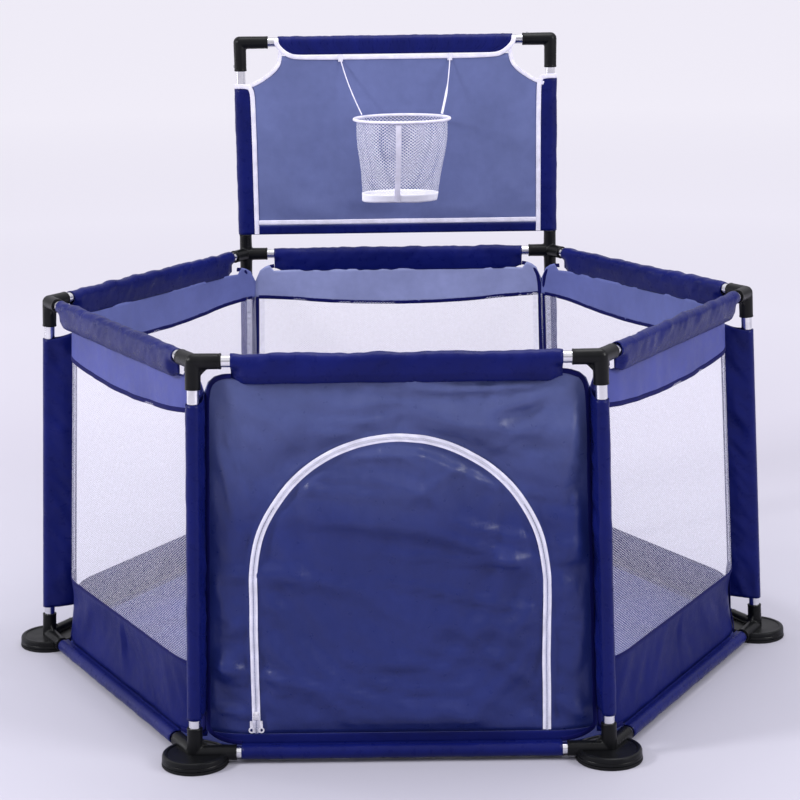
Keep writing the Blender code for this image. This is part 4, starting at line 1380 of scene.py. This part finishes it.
def build_board_sleeves():
    """The top sleeve has slanting ends, and each side sleeve a rounded top. White tape follows their inner edges."""
    r = SLEEVE_R
    drop = BOARD_SLEEVE_DROP
    top_end, low_end = POST_X - BOARD_TOP_END, POST_X - BOARD_LOW_END
    front, back = [(r * 0.94, -drop), (r, -0.012)], [(-r, -0.012), (-r * 0.8, -drop)]
    profile = resampled(front + arc(r, 0, 181, 20) + back, 38)

    def hoop_place(share, out, rise):
        down = min(max(-rise / drop, 0.0), 1.0)
        x = share * (top_end + (low_end - top_end) * down**2)
        return Vector((x, TOP_APOTHEM - out, HOOP_Z + rise))

    path = [(-top_end - 0.003, HOOP_Z + 0.008), (-top_end - 0.002, HOOP_Z - 0.006), (-low_end - 0.012, HOOP_Z - drop)]
    path += [(-low_end + 0.012, HOOP_Z - drop - 0.006), (0, HOOP_Z - drop - 0.006)]
    path = rounded(path + [(-x, z) for x, z in path[-2::-1]], 150, 3)
    bulge = [math.sqrt(max(r * r - max(z - HOOP_Z, 0) ** 2, 0)) for _, z in path]
    places = [Vector((x, TOP_APOTHEM - out - 0.0012, z)) for (x, z), out in zip(path, bulge)]
    facing = [Vector((0, TOP_APOTHEM - place.y, max(place.z - HOOP_Z, 0))) for place in places]
    facing = [Vector((0, -face.y, face.z)).normalized() for face in facing]
    trim = ribbon("board_top_trim", places, facing, TRIM_WIDTH, TRIM_THICKNESS, WHITE, "hoop_frame")
    sleeve(
        "board_top_sleeve", hoop_place, profile, spaced(-1, 1, 0.02), NAVY_DEEP, 0.0009, 41, body="hoop_frame",
        rests_on=["hoop_rail"], trims=[trim], stands_for=["backboard_cover"],
    )
    for side, name in ((-1, "left"), (1, "right")):
        turns = [math.radians(a) for a in range(-90, 91, 20)]
        loop = [(BOARD_SIDE_SLEEVE_R * math.cos(turn), r * math.sin(turn)) for turn in turns]
        turned = resampled([(-BOARD_SIDE_IN, -r), *loop, (-BOARD_SIDE_IN, r * 0.9)], 34)

        def side_place(z, out, rise, side=side):
            return Vector((side * (POST_X + out), TOP_APOTHEM + rise, z))

        seam_x = POST_X - BOARD_SIDE_IN - TRIM_WIDTH / 2 + 0.001
        top_z = BOARD_SIDE_TOP_Z[name]
        line = [(seam_x, BOARD_LOW_Z + 0.001), (seam_x, top_z - 0.03), (seam_x + 0.003, top_z + 0.001)]
        line += [(POST_X - 0.010, top_z + 0.005), (POST_X + 0.012, top_z + 0.005)]
        line = rounded([(side * x, z) for x, z in line], 110, 3)
        places = [Vector((x, TOP_APOTHEM - r - 0.0012 - 0.001 * (abs(x) > POST_X), z)) for x, z in line]
        tape = board_tape(f"board_side_trim_{name}", places)
        runs = spaced(BOARD_LOW_Z, top_z, 0.006)
        sleeve(
            f"board_side_sleeve_{name}", side_place, turned, runs, NAVY_DEEP, 0.0011, 43 + side, body="hoop_frame",
            rests_on=[f"upright_{name}"], trims=[tape], stands_for=["backboard_cover"],
        )


# ---------------------------------------------------------------- basket


def build_basket():
    """A taped ring, a knitted net with a sewn hem, and one tape down its front."""
    turns = [math.radians(22.5 * step) for step in range(16)]
    wire = [(RING_R + RING_WIRE_R * math.cos(a), RING_WIRE_R * math.sin(a)) for a in turns]
    mesh = lathe_mesh("ring_tape", wire, 96, matrix=Matrix.Translation(RING_CENTRE), sharp=180)
    layer = mesh.uv_layers.new(name="cloth")
    for loop in mesh.loops:
        at = mesh.vertices[loop.vertex_index].co - RING_CENTRE
        layer.data[loop.index].uv = (math.atan2(at.y, at.x) * RING_R, at.z)
    link("ring_tape", mesh, WHITE, "basket", ["basket_ring"])

    def net_radius(z):
        share = (RING_CENTRE.z - z) / (RING_CENTRE.z - NET_LOW)
        belly = 0.0016 * math.sin(math.pi * min(share / 0.55, 1.0))
        taper = (NET_BOTTOM_R - NET_TOP_R) * smooth_step(share, 0.05, 1.1) / smooth_step(1, 0.05, 1.1)
        return NET_TOP_R + taper + belly

    def net_point(angle, z, lift=0.0):
        """The bag hangs slack: flatter and a little askew towards its hem."""
        share = (RING_CENTRE.z - z) / (RING_CENTRE.z - NET_LOW)
        radius = net_radius(z) + lift + 0.0011 * ripple(math.cos(angle) * 3, math.sin(angle) * 3 + z * 26, 1, 1, 97)
        depth = 1 - 0.45 * share * share
        across = radius * math.cos(angle) - 0.007 * share * share
        return RING_CENTRE + Vector((across, radius * math.sin(angle) * depth, z - RING_CENTRE.z))

    def round_net(low, high, step, lift=0.0, sag=0.0):
        points, uvs = [], []
        for share in spaced(0, 1, step):
            row, cloth_row = [], []
            for angle in spaced(0, math.tau, math.tau / 72):
                wave = sag * (0.5 + 0.5 * ripple(math.cos(angle), math.sin(angle), 2.2, 2.2, 99))
                z = low + wave * (1 - share) + (high - low) * share
                row.append(net_point(angle, z, lift))
                cloth_row.append((angle * NET_TOP_R, z))
            points.append(row)
            uvs.append(cloth_row)
        return points, uvs

    heights = spaced(NET_LOW + 0.004, RING_CENTRE.z - RING_WIRE_R * 0.5, 0.008)
    angle = -math.pi / 2 - 0.07
    places = [net_point(angle, z, 0.0016) for z in heights]
    face = Vector((math.cos(angle), math.sin(angle), 0))
    tape = ribbon("net_front_tape", places, [face] * len(places), NET_TAPE_WIDTH, 0.0009, WHITE, "basket")
    points, uvs = round_net(NET_LOW + 0.008, RING_CENTRE.z - RING_WIRE_R * 0.3, 0.05)
    cloth(
        "net_bag", points, uvs, BASKET_NET, "white_net", body="basket", held="hung", trims=[tape],
        stands_for=["basket_net"], net=True,
    )
    points, uvs = round_net(NET_LOW, NET_LOW + NET_HEM, 0.2, 0.0004, 0.004)
    cloth("net_hem", points, uvs, WHITE_FRAY, "white_trim", body="basket", held="hung", stands_for=["basket_net"])
    for side, name in ((-1, "left"), (1, "right")):
        build_string(side, name)
        build_tab(side, name)


def string_route(side):
    """From the tab on the backboard down to the ring, slightly bowed."""
    start = Vector((side * TAB_X, BOARD_Y - 0.0023, TAB_Z))
    angle = math.radians(180 - STRING_ANGLE if side < 0 else STRING_ANGLE)
    above = UP * (RING_WIRE_R + STRING_D / 2 + 0.0003)
    end = RING_CENTRE + Vector((math.cos(angle), math.sin(angle), 0)) * RING_R + above
    bow = Vector((side * STRING_BOW, 0, 0))
    steps = [index / 24 for index in range(25)]
    return [start.lerp(end, share) + bow * math.sin(math.pi * share) for share in steps]


def build_string(side, name):
    """A knitted cord. The right one opens into a flat ribbon in its lower half."""
    route = string_route(side)
    length = sum((b - a).length for a, b in zip(route, route[1:]))
    points, uvs, run = [], [], 0.0
    for number, place in enumerate(route):
        if number:
            run += (place - route[number - 1]).length
        ahead = (route[min(number + 1, len(route) - 1)] - route[max(number - 1, 0)]).normalized()
        beside = ahead.cross(Vector((0, 1, 0))).normalized()
        face = beside.cross(ahead)
        flat = smooth_step(run / length, 0.45, 0.62) if side > 0 else 0.0
        wide, deep = STRING_D / 2 * (0.8 + 0.9 * flat), STRING_D / 2 * (0.8 - 0.35 * flat)
        turns = [math.radians(36 * step) for step in range(11)]
        points.append([place + beside * wide * math.cos(a) + face * deep * math.sin(a) for a in turns])
        uvs.append([(run, a * STRING_D / 2) for a in turns])
    label = f"string_{name}"
    obj = link(label, grid_mesh(label, points, uvs), WHITE, "basket", [f"basket_string_{name}"])


def build_tab(side, name):
    """A folded tab of tape that holds the string to the backboard."""
    heights = [TAB_Z + TAB_HEIGHT * (0.75 - share) for share in spaced(0, 1, 0.1)]
    places = [board_place(side * TAB_X, z, 0.0026) for z in heights]
    board_tape(f"string_tab_{name}", places, TAB_WIDTH, TAB_THICKNESS)


# ---------------------------------------------------------------- studio


CAMERA_PLACE = Vector((0.01682, -3.54336, 1.27062))
CAMERA_PITCH = -0.225466
CAMERA_YAW = -0.004119
CAMERA_ROLL = -0.014092
SENSOR = 36.0
LENS = 89.9


def build_camera():
    pitch, yaw, roll = CAMERA_PITCH, CAMERA_YAW, CAMERA_ROLL
    ahead = Vector((math.sin(yaw) * math.cos(pitch), math.cos(yaw) * math.cos(pitch), math.sin(pitch)))
    level = Vector((math.cos(yaw), -math.sin(yaw), 0))
    lifted = level.cross(ahead)
    right = level * math.cos(roll) + lifted * math.sin(roll)
    upward = lifted * math.cos(roll) - level * math.sin(roll)
    data = bpy.data.cameras.new("camera")
    data.sensor_width, data.lens = SENSOR, LENS
    data.clip_end = 500
    camera = add_object("camera", data)
    turn = Matrix((right, upward, -ahead)).transposed().to_4x4()
    camera.matrix_world = Matrix.Translation(CAMERA_PLACE) @ turn
    bpy.context.scene.camera = camera


def build_floor():
    """A plain pale floor that runs far beyond the picture, painted darker near the yard and lighter with distance as
    painted studio light and shade.
    """
    bm = bmesh.new()
    bmesh.ops.create_circle(bm, cap_ends=True, segments=96, radius=150)
    mesh = mesh_of(bm, "studio_floor")
    made = Shader("studio_paper", (0.6, 0.6, 0.68), 0.75)
    place = made.coordinates("Object")
    far = made.node("VectorMath", {0: place}, operation="LENGTH").outputs["Value"]
    painted_falloff = made.spread(far, 0.0, 1.0, 0.0, 12.0)
    # Painted light and shade: the floor's colour runs from dark near the yard to light far off.
    stops = [(0.067, (0.41, 0.40, 0.47)), (0.16, (0.52, 0.50, 0.58)), (0.29, (0.70, 0.68, 0.76))]
    stops += [(0.5, (0.86, 0.84, 0.91)), (1.0, (0.97, 0.95, 1.0))]
    made.set("Base Color", made.colours(painted_falloff, stops))
    made.set("Normal", made.bump(made.noise(place, 6.0, 3.0), 0.002, 0.2))
    mesh.materials.append(made.material)
    add_object("studio_floor", mesh)


def softbox(name, place, aim, width, height, power):
    """A soft rectangular light at place that points at aim."""
    data = bpy.data.lights.new(name, "AREA")
    data.shape = "RECTANGLE"
    data.size, data.size_y = width, height
    data.energy = power
    turn = (Vector(aim) - Vector(place)).to_track_quat("-Z", "Y").to_matrix().to_4x4()
    add_object(name, data).matrix_world = Matrix.Translation(place) @ turn


def build_light():
    world = bpy.data.worlds.new("studio")
    world.use_nodes = True
    bpy.context.scene.world = world
    tree = world.node_tree
    background = tree.nodes["Background"]
    place = tree.nodes.new("ShaderNodeTexCoord")
    parts = tree.nodes.new("ShaderNodeSeparateXYZ")
    ramp = tree.nodes.new("ShaderNodeValToRGB")
    tree.links.new(place.outputs["Generated"], parts.inputs[0])
    tree.links.new(parts.outputs[2], ramp.inputs[0])
    tree.links.new(ramp.outputs[0], background.inputs[0])
    stops = [(0.0, (0.40, 0.39, 0.44)), (0.2, (0.46, 0.45, 0.51)), (0.6, (1.0, 0.99, 1.04))]
    fill_ramp(ramp, stops)
    background.inputs[1].default_value = 1.0
    softbox("key", (-3.2, -1.6, 2.5), (0, -0.3, 0.4), 0.7, 0.7, 98)
    softbox("fill", (3.3, -2.0, 2.4), (0, 0, 0.5), 1.4, 1.8, 88)
    softbox("top", (0.3, 0.2, 3.6), (0, 0, 0.4), 1.8, 1.8, 50)
    softbox("strip", (-3.4, 0.8, 1.4), (0, 0, 0.6), 0.5, 2.4, 22)
    bpy.context.scene.view_settings.view_transform = "Standard"


# ---------------------------------------------------------------- assembly


build_camera()
build_floor()
build_light()
build_mouldings()
build_tubes()
for wall_index, wall_name in enumerate(WALLS):
    build_rail_sleeves(wall_index, wall_name)
    build_post_sleeve(wall_index, CORNERS[wall_index])
    if wall_index != FRONT:
        build_net_wall(wall_index, wall_name)
build_front_wall()
build_door()
build_zip()
build_slider()
for pull in ("zip_pull_left", "zip_pull_right"):
    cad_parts[pull].material_slots[0].material = ZIP_METAL
build_floor_cloth()
build_backboard()
build_basket()
